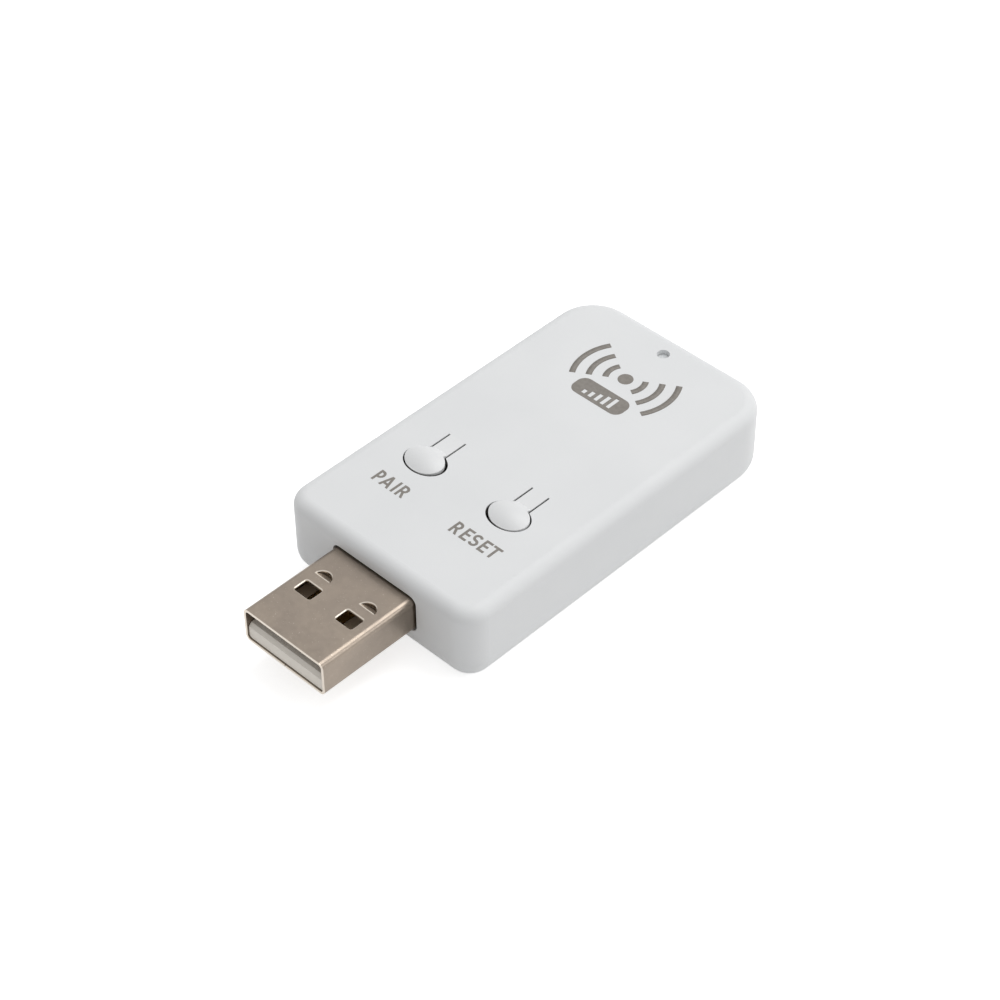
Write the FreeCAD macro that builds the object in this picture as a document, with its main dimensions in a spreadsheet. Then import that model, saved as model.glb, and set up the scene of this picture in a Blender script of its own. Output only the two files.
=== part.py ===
import FreeCAD, Part
import os
import Sketcher

# Wireless gateway on a USB type A plug: a white snap-together housing with two sprung paddles
# moulded into its top, a board with the radio and two tact switches, and a folded steel plug.
# Frame: Z up, Y from the plug's mouth to the far end, X across. Every sub-part is drawn with
# Y = 0 at the housing's front wall and Z = 0 on the table, then moved so that the origin lies
# below the middle of the whole object.
doc = FreeCAD.newDocument("usb_gateway")
sheet = doc.addObject("Spreadsheet::Sheet", "sizes")

SIZES = [
    # Housing, outside
    ("body_width", 28.1), ("body_length", 48.7), ("body_height", 10.1),
    ("front_corner_radius", 2.85), ("rear_corner_radius", 5.2),
    ("top_edge_radius", 1.5), ("bottom_edge_radius", 2.6),
    # Housing, walls and the joint between its two halves
    ("side_wall", 1.5), ("top_wall", 1.4), ("inner_edge_bevel", 0.5), ("smallest_corner", 0.3),
    ("split_height", 1.2), ("floor_thickness", 1.5), ("lip_height", 1.2), ("lip_thickness", 0.8),
    ("lip_clearance", 0.08), ("snap_length", 7.0), ("snap_height", 0.5), ("snap_depth", 0.25),
    ("snap_clearance", 0.08), ("snap_rise", 0.45), ("snap_spacing", 22.0),
    ("rib_thickness", 1.2), ("rib_bearing", 1.1), ("rib_spacing", 16.0),
    ("post_height", 0.65), ("post_diameter", 3.0), ("pin_diameter", 1.1), ("pin_height", 1.0),
    ("pin_clearance", 0.1), ("post_side_inset", 4.9), ("post_end_inset", 5.3),
    # Circuit board
    ("board_thickness", 1.2), ("board_gap", 0.22), ("board_corner_radius", 1.0),
    # Plug shell
    ("plug_reach", 12.9), ("plug_width", 12.0), ("plug_height", 4.5), ("plug_inside", 4.8),
    ("sheet_thickness", 0.3), ("bend_radius", 0.7), ("mouth_clearance", 0.25),
    ("window_spread", 3.11), ("window_width", 2.4), ("window_length", 1.88), ("window_front", 5.52),
    ("window_corner_radius", 0.25), ("lance_spread", 3.35), ("lance_width", 2.1), ("lance_length", 1.0),
    ("lance_front", 8.7), ("lance_angle", 28.0), ("lance_clearance", 0.06), ("rim_bevel", 0.1),
    ("seam_gap", 0.1), ("seam_jog", 1.0), ("leg_width", 1.0), ("leg_setback", 4.1), ("leg_overhang", 0.3),
    # Plug insulator and contacts
    ("insulator_clearance", 0.05), ("tongue_recess", 0.2), ("tongue_thickness", 1.95),
    ("tongue_chamfer", 0.4), ("block_front", 10.2), ("block_tail", 0.2), ("contact_width", 1.0),
    ("contact_thickness", 0.25), ("contact_clearance", 0.03), ("power_spread", 3.5),
    ("signal_spread", 1.0), ("power_setback", 1.5), ("signal_setback", 2.5), ("contact_gap", 0.25),
    ("contact_tail", 1.7),
    # Paddles
    ("button_side_inset", 7.8), ("button_shift", 0.375), ("button_setback", 14.2), ("opening_width", 5.5),
    ("opening_length", 4.2), ("button_gap", 0.25), ("pad_shift", 0.09), ("arm_length", 5.0),
    ("arm_width", 2.18), ("slit_width", 0.22), ("paddle_thickness", 0.8), ("crown_height", 0.65),
    ("crown_shift", 0.3), ("crown_radius_across", 7.5), ("crown_radius_along", 3.6),
    ("presser_diameter", 1.2), ("presser_gap", 0.05),
    # Tact switches
    ("switch_side", 4.5), ("switch_base_height", 2.6), ("switch_height", 3.8), ("switch_well", 3.2),
    ("switch_well_floor", 0.6), ("switch_sheet", 0.2), ("skirt_height", 1.2), ("stem_diameter", 2.0),
    ("stem_clearance", 0.05), ("plunger_clearance", 0.08), ("switch_travel", 0.3), ("snap_disc_rise", 0.35),
    ("snap_disc_thickness", 0.12), ("terminal_width", 0.7), ("terminal_reach", 0.8),
    ("terminal_thickness", 0.2), ("terminal_spread", 1.5),
    # Status light
    ("led_setback", 3.2), ("led_width", 1.6), ("led_length", 0.8), ("led_height", 0.6),
    ("light_hole_diameter", 1.5), ("guide_clearance", 0.05), ("guide_recess", 0.6),
    ("guide_diameter", 2.2), ("guide_gap", 0.3), ("collar_wall", 0.7), ("collar_height", 2.2),
    # Parts on the board, each placed from its neighbour
    ("guard_gap", 1.4), ("guard_spread", 2.6), ("fuse_width", 3.2), ("fuse_length", 1.6),
    ("fuse_height", 0.6), ("diode_width", 2.7), ("diode_length", 1.3), ("diode_height", 1.0),
    ("inductor_gap", 0.9), ("inductor_side", 3.0), ("inductor_height", 1.5), ("inductor_corner", 0.5),
    ("regulator_gap", 1.0), ("regulator_width", 2.9), ("regulator_length", 1.6),
    ("regulator_height", 1.1), ("regulator_lead", 0.6), ("lead_width", 0.4), ("lead_thickness", 0.15),
    ("lead_spread", 0.95), ("can_gap", 0.8), ("can_side", 11.5), ("can_height", 2.4),
    ("can_sheet", 0.2), ("can_hole_diameter", 1.2), ("chip_side", 6.0),
    ("chip_height", 0.9), ("chip_gap", 0.5), ("chip_mark_side", 0.6), ("chip_mark_depth", 0.1),
    ("crystal_gap", 0.7), ("crystal_width", 3.2), ("crystal_length", 2.5), ("crystal_height", 0.8),
    ("memory_width", 3.0), ("memory_length", 4.0), ("memory_height", 0.6), ("memory_inset", 1.25),
    ("antenna_width", 12.0), ("antenna_length", 4.6), ("antenna_trace", 0.6), ("antenna_turns", 6),
    ("antenna_thickness", 0.1), ("antenna_inset", 2.5), ("capacitor_count", 6),
    ("capacitor_spacing", 1.9), ("capacitor_gap", 0.7), ("resistor_count", 4),
    ("resistor_spacing", 2.0), ("resistor_inset", 2.6), ("small_part_width", 0.5),
    ("small_part_length", 1.0), ("small_part_height", 0.4),
]
for row, (alias, size) in enumerate(SIZES, start=1):
    sheet.set(f"A{row}", alias)
    sheet.set(f"B{row}", str(size))
    sheet.setAlias(f"B{row}", alias)
doc.recompute()


def size_of(expression):
    """The number that an expression on the sheet gives."""
    return float(sheet.evalExpression(expression))


# Places that several sub-parts share, as expressions on the sheet.
SHIFT_Y = "((sizes.plug_reach - sizes.body_length) / 2)"
BOARD_BOTTOM = "(sizes.floor_thickness + sizes.post_height)"
BOARD_TOP = f"({BOARD_BOTTOM} + sizes.board_thickness)"
BOARD_INSET = "(sizes.side_wall + sizes.lip_clearance + sizes.lip_thickness + sizes.board_gap)"
CEILING = "(sizes.body_height - sizes.top_wall)"
LIP_TOP = "(sizes.split_height + sizes.lip_height)"
LIP_INSET = "(sizes.side_wall + sizes.lip_clearance)"
PLUG_MIDDLE = f"({BOARD_TOP} + sizes.plug_height / 2)"
PLUG_TOP = f"({BOARD_TOP} + sizes.plug_height)"
TONGUE_TOP = f"({BOARD_TOP} + sizes.sheet_thickness + sizes.tongue_thickness)"
BLOCK_REAR = "(sizes.plug_inside + sizes.block_tail)"
ARM_ROOT = "(sizes.button_setback + sizes.arm_length)"
PADDLE_BOTTOM = "(sizes.body_height - sizes.paddle_thickness)"
PLUNGER_TOP = f"({BOARD_TOP} + sizes.switch_height)"
LIGHT_Y = "(sizes.body_length - sizes.led_setback)"
CONTACT_BEND = f"({BLOCK_REAR} + sizes.contact_gap + sizes.contact_thickness)"
CONTACT_END = f"({CONTACT_BEND} + sizes.contact_tail)"
GUARD_Y = f"({CONTACT_END} + sizes.guard_gap + sizes.fuse_length / 2)"
INDUCTOR_Y = f"({GUARD_Y} + sizes.fuse_length / 2 + sizes.inductor_gap + sizes.inductor_side / 2)"
REGULATOR_REACH = "(sizes.regulator_length / 2 + sizes.regulator_lead)"
REGULATOR_Y = f"({INDUCTOR_Y} + sizes.inductor_side / 2 + sizes.regulator_gap + {REGULATOR_REACH})"
CAN_Y = f"({REGULATOR_Y} + {REGULATOR_REACH} + sizes.can_gap + sizes.can_side / 2)"
PAIR_X = "(sizes.button_side_inset - sizes.body_width / 2 - sizes.button_shift)"
RESET_X = "(sizes.body_width / 2 - sizes.button_side_inset - sizes.button_shift)"
BOARD_SIDE = f"(sizes.body_width / 2 - {BOARD_INSET})"
POST_SIDE = "(sizes.body_width / 2 - sizes.post_side_inset)"
REAR_POST_Y = "(sizes.body_length - sizes.post_end_inset)"


def new_body(label, x="0", y="0", z="0"):
    """A body of its own name, placed in the shared frame."""
    body = doc.addObject("PartDesign::Body", label)
    place(body, x, y, z)
    return body


def place(thing, x="0", y="0", z="0"):
    thing.setExpression("Placement.Base.x", x)
    thing.setExpression("Placement.Base.y", f"{SHIFT_Y} + {y}")
    thing.setExpression("Placement.Base.z", z)


def plane_of(body, role):
    return next(item for item in body.Origin.OriginFeatures if item.Role == role)


def new_sketch(body, name, role="XY_Plane", right="0", up="0", out="0"):
    """A sketch on one of the body's own planes, its origin moved right, up and out of that plane."""
    sketch = body.newObject("Sketcher::SketchObject", name)
    sketch.AttachmentSupport = [(plane_of(body, role), "")]
    sketch.MapMode = "FlatFace"
    sketch.setExpression("AttachmentOffset.Base.x", right)
    sketch.setExpression("AttachmentOffset.Base.y", up)
    sketch.setExpression("AttachmentOffset.Base.z", out)
    return sketch


def bind(sketch, constraint, expression):
    index = sketch.addConstraint(constraint)
    sketch.setExpression(f"Constraints[{index}]", expression)


def fix_point(sketch, geometry, end, x, y):
    """Holds a point of the sketch at the place that two expressions give."""
    for kind, expression, axis in (("DistanceX", x, -2), ("DistanceY", y, -1)):
        distance = size_of(expression)
        if abs(distance) < 1e-9:
            sketch.addConstraint(Sketcher.Constraint("PointOnObject", geometry, end, axis))
        elif distance > 0:
            bind(sketch, Sketcher.Constraint(kind, -1, 1, geometry, end, distance), expression)
        else:
            bind(sketch, Sketcher.Constraint(kind, geometry, end, -1, 1, -distance), f"-({expression})")


def polygon(sketch, points):
    """A closed outline of straight lines through points given as pairs of expressions."""
    corners = [FreeCAD.Vector(size_of(x), size_of(y), 0) for x, y in points]
    first = sketch.GeometryCount
    count = len(points)
    for index in range(count):
        sketch.addGeometry(Part.LineSegment(corners[index], corners[(index + 1) % count]))
    for index in range(count):
        after = first + (index + 1) % count
        sketch.addConstraint(Sketcher.Constraint("Coincident", first + index, 2, after, 1))
    for index, (x, y) in enumerate(points):
        fix_point(sketch, first + index, 1, x, y)


def rectangle(sketch, width, length):
    """A rectangle about the sketch's origin."""
    half_width, half_length = f"(({width}) / 2)", f"(({length}) / 2)"
    polygon(sketch, [(f"-{half_width}", f"-{half_length}"), (half_width, f"-{half_length}"),
                     (half_width, half_length), (f"-{half_width}", half_length)])


def rounded_rectangle(sketch, width, length, low_radius, high_radius=None):
    """A rectangle about the sketch's origin with round corners, of one radius below and one above."""
    high_radius = high_radius or low_radius
    half_width, half_length = f"(({width}) / 2)", f"(({length}) / 2)"
    w, d = size_of(half_width), size_of(half_length)
    low, high = size_of(low_radius), size_of(high_radius)
    vector = FreeCAD.Vector
    first = sketch.GeometryCount
    turns = [((w - low, -d + low), low, 270), ((w - high, d - high), high, 0),
             ((-w + high, d - high), high, 90), ((-w + low, -d + low), low, 180)]
    ends = [(vector(-w + low, -d, 0), vector(w - low, -d, 0)),
            (vector(w, -d + low, 0), vector(w, d - high, 0)),
            (vector(w - high, d, 0), vector(-w + high, d, 0)),
            (vector(-w, d - high, 0), vector(-w, -d + low, 0))]
    for (start, end), (centre, radius, angle) in zip(ends, turns):
        sketch.addGeometry(Part.LineSegment(start, end))
        circle = Part.Circle(vector(centre[0], centre[1], 0), vector(0, 0, 1), radius)
        begin = FreeCAD.Units.Quantity(f"{angle} deg").getValueAs("rad").Value
        quarter = FreeCAD.Units.Quantity("90 deg").getValueAs("rad").Value
        sketch.addGeometry(Part.ArcOfCircle(circle, begin, begin + quarter))
    bottom, right, top, left = first, first + 2, first + 4, first + 6
    for index in range(8):
        after = first + (index + 1) % 8
        sketch.addConstraint(Sketcher.Constraint("Tangent", first + index, 2, after, 1))
    for line in (bottom, top):
        sketch.addConstraint(Sketcher.Constraint("Horizontal", line))
    for line in (right, left):
        sketch.addConstraint(Sketcher.Constraint("Vertical", line))
    bind(sketch, Sketcher.Constraint("DistanceX", left, 1, -1, 1, w), half_width)
    bind(sketch, Sketcher.Constraint("DistanceX", -1, 1, right, 1, w), half_width)
    bind(sketch, Sketcher.Constraint("DistanceY", bottom, 1, -1, 1, d), half_length)
    bind(sketch, Sketcher.Constraint("DistanceY", -1, 1, top, 1, d), half_length)
    for arc, radius in ((1, low_radius), (3, high_radius), (5, high_radius), (7, low_radius)):
        bind(sketch, Sketcher.Constraint("Radius", first + arc, size_of(radius)), radius)


def circle(sketch, diameter):
    """A circle about the sketch's origin."""
    centre, normal = FreeCAD.Vector(0, 0, 0), FreeCAD.Vector(0, 0, 1)
    index = sketch.addGeometry(Part.Circle(centre, normal, size_of(diameter) / 2))
    bind(sketch, Sketcher.Constraint("Diameter", index, size_of(diameter)), diameter)
    sketch.addConstraint(Sketcher.Constraint("Coincident", index, 3, -1, 1))


def ellipse(sketch, width, length):
    """An ellipse about the sketch's origin, wider than it is long."""
    half_width, half_length = f"(({width}) / 2)", f"(({length}) / 2)"
    a, b = size_of(half_width), size_of(half_length)
    centre = FreeCAD.Vector(0, 0, 0)
    index = sketch.addGeometry(Part.Ellipse(centre, a, b))
    sketch.exposeInternalGeometry(index)
    sketch.addConstraint(Sketcher.Constraint("Coincident", index, 3, -1, 1))
    major, minor = index + 1, index + 2
    sketch.addConstraint(Sketcher.Constraint("Horizontal", major))
    bind(sketch, Sketcher.Constraint("Distance", major, 2 * a), width)
    bind(sketch, Sketcher.Constraint("Distance", minor, 2 * b), length)


def half_moon(sketch, width, length):
    """A straight edge through the sketch's origin, closed by an arc that reaches up."""
    half_width = f"(({width}) / 2)"
    w, reach = size_of(half_width), size_of(length)
    left, right = FreeCAD.Vector(-w, 0, 0), FreeCAD.Vector(w, 0, 0)
    line = sketch.addGeometry(Part.LineSegment(left, right))
    arc = sketch.addGeometry(Part.Arc(right, FreeCAD.Vector(0, reach, 0), left))
    sketch.addConstraint(Sketcher.Constraint("Coincident", line, 2, arc, 1))
    sketch.addConstraint(Sketcher.Constraint("Coincident", line, 1, arc, 2))
    fix_point(sketch, line, 1, f"-{half_width}", "0")
    fix_point(sketch, line, 2, half_width, "0")
    radius = f"(({half_width})^2 + ({length})^2) / (2 * ({length}))"
    bind(sketch, Sketcher.Constraint("Radius", arc, size_of(radius)), radius)


def barrel_profile(sketch, reach, axis_depth, radius):
    """Half of a barrel's section: its axis lies on the sketch's X axis, its belly is an arc above it."""
    centre = f"({axis_depth} - {radius})"
    edge = f"({centre} + sqrt({radius}^2 - {reach}^2))"
    r, w, high = size_of(reach), size_of(edge), size_of(axis_depth)
    vector = FreeCAD.Vector
    corners = [vector(-r, w, 0), vector(-r, 0, 0), vector(r, 0, 0), vector(r, w, 0)]
    for start, end in zip(corners, corners[1:]):
        sketch.addGeometry(Part.LineSegment(start, end))
    arc = sketch.addGeometry(Part.Arc(corners[3], vector(0, high, 0), corners[0]))
    for line in (0, 1):
        sketch.addConstraint(Sketcher.Constraint("Coincident", line, 2, line + 1, 1))
    sketch.addConstraint(Sketcher.Constraint("Coincident", 2, 2, arc, 1))
    sketch.addConstraint(Sketcher.Constraint("Coincident", 0, 1, arc, 2))
    for line, x, y in ((0, f"-{reach}", edge), (1, f"-{reach}", "0"), (2, reach, "0")):
        fix_point(sketch, line, 1, x, y)
    fix_point(sketch, 2, 2, reach, edge)
    bind(sketch, Sketcher.Constraint("Radius", arc, size_of(radius)), radius)


def pad(body, name, sketch, length, backwards=False, both_ways=False):
    feature = body.newObject("PartDesign::Pad", name)
    feature.Profile = sketch
    feature.setExpression("Length", length)
    feature.Reversed = backwards
    feature.SideType = "Symmetric" if both_ways else "One side"
    doc.recompute()
    return feature


def pocket(body, name, sketch, length, backwards=False, through=False):
    """Cuts against the sketch's normal, or along it when backwards, and tests that something came off."""
    before = body.Tip.Shape.Volume
    feature = body.newObject("PartDesign::Pocket", name)
    feature.Profile = sketch
    feature.Type = "ThroughAll" if through else "Length"
    if not through:
        feature.setExpression("Length", length)
    feature.Reversed = backwards
    doc.recompute()
    if feature.Shape.Volume >= before:
        raise RuntimeError(f"{name} cuts nothing")
    return feature


def mirrored(body, name, features, role="YZ_Plane"):
    """Repeats features on the other side of one of the body's planes."""
    feature = body.newObject("PartDesign::Mirrored", name)
    feature.Originals = features
    feature.MirrorPlane = (plane_of(body, role), [""])
    body.Tip = feature
    doc.recompute()
    return feature


def revolved(body, name, sketch, axis="V_Axis"):
    """Turns a profile about one of its sketch's own axes, the upright one unless another is named."""
    feature = body.newObject("PartDesign::Revolution", name)
    feature.Profile = sketch
    feature.ReferenceAxis = (sketch, [axis])
    feature.Angle = 360
    doc.recompute()
    return feature


def dressed(body, kind, name, base, size, chosen):
    """A fillet or a chamfer on the edges that the test picks out."""
    edges = base.Shape.Edges
    feature = body.newObject(f"PartDesign::{kind}", name)
    feature.Base = (base, [f"Edge{number}" for number, edge in enumerate(edges, start=1) if chosen(edge)])
    feature.setExpression("Radius" if kind == "Fillet" else "Size", size)
    doc.recompute()
    return feature


def lies_at(height):
    """A test for the edges that lie flat at a height."""
    level = size_of(height)
    return lambda edge: abs(edge.BoundBox.ZMin - level) < 1e-4 and abs(edge.BoundBox.ZMax - level) < 1e-4


def plan_outline(sketch, inset, corner_radius=None):
    """The housing's outline seen from above, drawn in by an inset."""
    width = f"sizes.body_width - 2 * {inset}"
    length = f"sizes.body_length - 2 * {inset}"
    front = corner_radius or f"max(sizes.front_corner_radius - {inset}; sizes.smallest_corner)"
    rear = f"max(sizes.rear_corner_radius - {inset}; sizes.smallest_corner)"
    rounded_rectangle(sketch, width, length, front, rear)


def housing_block(body):
    """The housing's whole outer form, before it is split and hollowed."""
    outline = new_sketch(body, "outline", up="sizes.body_length / 2")
    plan_outline(outline, "0")
    block = pad(body, "block", outline, "sizes.body_height")
    block = dressed(body, "Fillet", "top_edge", block, "sizes.top_edge_radius", lies_at("sizes.body_height"))
    return dressed(body, "Fillet", "bottom_edge", block, "sizes.bottom_edge_radius", lies_at("0"))


def build_top_cover():
    """A deep moulded tub, open below: plug mouth, two keyhole openings, light hole, ribs and snap grooves."""
    body = new_body("top_cover")
    housing_block(body)
    below = new_sketch(body, "below_split", up="sizes.body_length / 2", out="sizes.split_height")
    rectangle(below, "sizes.body_width + 2 * sizes.side_wall", "sizes.body_length + 2 * sizes.side_wall")
    pocket(body, "split", below, "sizes.split_height + sizes.side_wall")
    inside = new_sketch(body, "inside", up="sizes.body_length / 2")
    plan_outline(inside, "sizes.side_wall")
    hollow = pocket(body, "hollow", inside, CEILING, backwards=True)
    dressed(body, "Chamfer", "ceiling_edge", hollow, "sizes.inner_edge_bevel", lies_at(CEILING))

    mouth = new_sketch(body, "mouth_outline", "XZ_Plane", up=PLUG_MIDDLE, out="sizes.side_wall")
    rounded_rectangle(mouth, "sizes.plug_width + 2 * sizes.mouth_clearance",
                      "sizes.plug_height + 2 * sizes.mouth_clearance",
                      "sizes.bend_radius + sizes.mouth_clearance")
    pocket(body, "mouth", mouth, "sizes.side_wall + sizes.plug_inside + sizes.mouth_clearance")

    above = "sizes.body_height + sizes.top_wall"
    for side, x in (("pair", PAIR_X), ("reset", RESET_X)):
        oval = new_sketch(body, f"{side}_outline", right=x, up="sizes.button_setback", out=above)
        ellipse(oval, "sizes.opening_width", "sizes.opening_length")
        pocket(body, f"{side}_opening", oval, "3 * sizes.top_wall")
        slot = new_sketch(body, f"{side}_arm_outline", right=x, out=above,
                          up=f"({ARM_ROOT} + sizes.button_setback) / 2")
        rectangle(slot, "sizes.arm_width + 2 * sizes.slit_width", "sizes.arm_length")
        pocket(body, f"{side}_arm_opening", slot, "3 * sizes.top_wall")

    collar = new_sketch(body, "collar_outline", up=LIGHT_Y, out=f"{CEILING} - sizes.collar_height")
    bore = "sizes.guide_diameter + 2 * sizes.guide_clearance"
    circle(collar, f"{bore} + 2 * sizes.collar_wall")
    circle(collar, bore)
    pad(body, "collar", collar, "sizes.collar_height + sizes.top_wall / 4")
    hole = new_sketch(body, "light_outline", up=LIGHT_Y, out=above)
    circle(hole, "sizes.light_hole_diameter")
    pocket(body, "light_hole", hole, "3 * sizes.top_wall")

    ribs = []
    rib_reach = f"({BOARD_INSET} - sizes.side_wall / 2 + sizes.rib_bearing)"
    for name, step in (("front", "-1"), ("middle", "0"), ("rear", "1")):
        rib = new_sketch(body, f"{name}_rib_outline", out=BOARD_TOP,
                         right=f"sizes.body_width / 2 - sizes.side_wall / 2 - {rib_reach} / 2",
                         up=f"sizes.body_length / 2 + ({step}) * sizes.rib_spacing")
        rectangle(rib, rib_reach, "sizes.rib_thickness")
        ribs.append(pad(body, f"{name}_rib", rib, f"{CEILING} - {BOARD_TOP} + sizes.top_wall / 4"))
    mirrored(body, "other_ribs", ribs)

    grooves = []
    for name, step in (("front", "-1"), ("rear", "1")):
        depth = "(sizes.snap_depth + sizes.snap_clearance)"
        groove = new_sketch(body, f"{name}_groove_outline", right="sizes.body_width / 2 - sizes.side_wall",
                            out="sizes.split_height + sizes.snap_rise - sizes.snap_clearance",
                            up=f"sizes.body_length / 2 + ({step}) * sizes.snap_spacing / 2")
        rectangle(groove, f"2 * {depth}", "sizes.snap_length + 2 * sizes.snap_clearance")
        grooves.append(pocket(body, f"{name}_groove", groove,
                              "sizes.snap_height + 2 * sizes.snap_clearance", backwards=True))
    mirrored(body, "other_grooves", grooves)
    return body


def build_bottom_cover():
    """A shallow tray: a lip that enters the top cover, wedge-shaped snaps, and four posts, two with pins."""
    body = new_body("bottom_cover")
    housing_block(body)
    above = new_sketch(body, "above_split", up="sizes.body_length / 2", out="sizes.split_height")
    rectangle(above, "sizes.body_width + 2 * sizes.side_wall", "sizes.body_length + 2 * sizes.side_wall")
    pocket(body, "split", above, "sizes.body_height", backwards=True)
    lip = new_sketch(body, "lip_outline", up="sizes.body_length / 2", out="sizes.split_height")
    plan_outline(lip, LIP_INSET)
    pad(body, "lip", lip, "sizes.lip_height")
    tray = new_sketch(body, "tray_outline", up="sizes.body_length / 2", out=LIP_TOP)
    plan_outline(tray, f"({LIP_INSET} + sizes.lip_thickness)")
    pocket(body, "tray", tray, f"{LIP_TOP} - sizes.floor_thickness")

    snaps = []
    for name, step in (("front", "-1"), ("rear", "1")):
        middle = f"(sizes.body_length / 2 + ({step}) * sizes.snap_spacing / 2)"
        wedge = new_sketch(body, f"{name}_snap_profile", "XZ_Plane", out=f"-{middle}",
                           right=f"sizes.body_width / 2 - {LIP_INSET}",
                           up="sizes.split_height + sizes.snap_rise")
        root = "-(sizes.lip_thickness / 2)"
        reach = "(sizes.lip_clearance + sizes.snap_depth)"
        polygon(wedge, [(root, "0"), (reach, "0"), (reach, "sizes.snap_height / 3"),
                        ("0", "sizes.snap_height"), (root, "sizes.snap_height")])
        snaps.append(pad(body, f"{name}_snap", wedge, "sizes.snap_length", both_ways=True))
    mirrored(body, "other_snaps", snaps)

    posts = []
    for name, y in (("front", "sizes.post_end_inset"), ("rear", REAR_POST_Y)):
        post = new_sketch(body, f"{name}_post_outline", right=POST_SIDE, up=y, out="sizes.floor_thickness")
        circle(post, "sizes.post_diameter")
        posts.append(pad(body, f"{name}_post", post, "sizes.post_height"))
    pin = new_sketch(body, "pin_outline", right=POST_SIDE, up=REAR_POST_Y, out=BOARD_BOTTOM)
    circle(pin, "sizes.pin_diameter")
    posts.append(pad(body, "pin", pin, "sizes.pin_height"))
    mirrored(body, "other_posts", posts)
    return body


def build_circuit_board():
    """The board rests on four posts and takes the rear two's pins. It has a slot for each leg of the plug."""
    body = new_body("circuit_board", z=BOARD_BOTTOM)
    outline = new_sketch(body, "outline", up="sizes.body_length / 2")
    plan_outline(outline, BOARD_INSET, "sizes.board_corner_radius")
    pad(body, "laminate", outline, "sizes.board_thickness")
    hole = new_sketch(body, "pin_hole_outline", right=POST_SIDE, up=REAR_POST_Y)
    circle(hole, "sizes.pin_diameter + 2 * sizes.pin_clearance")
    holes = pocket(body, "pin_hole", hole, "0", backwards=True, through=True)
    slot = new_sketch(body, "leg_slot_outline", up="sizes.leg_setback",
                      right="sizes.plug_width / 2 - sizes.sheet_thickness / 2")
    rectangle(slot, "sizes.sheet_thickness + 2 * sizes.pin_clearance",
              "sizes.leg_width + 2 * sizes.pin_clearance")
    slots = pocket(body, "leg_slot", slot, "0", backwards=True, through=True)
    mirrored(body, "other_cuts", [holes, slots])
    return body


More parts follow.
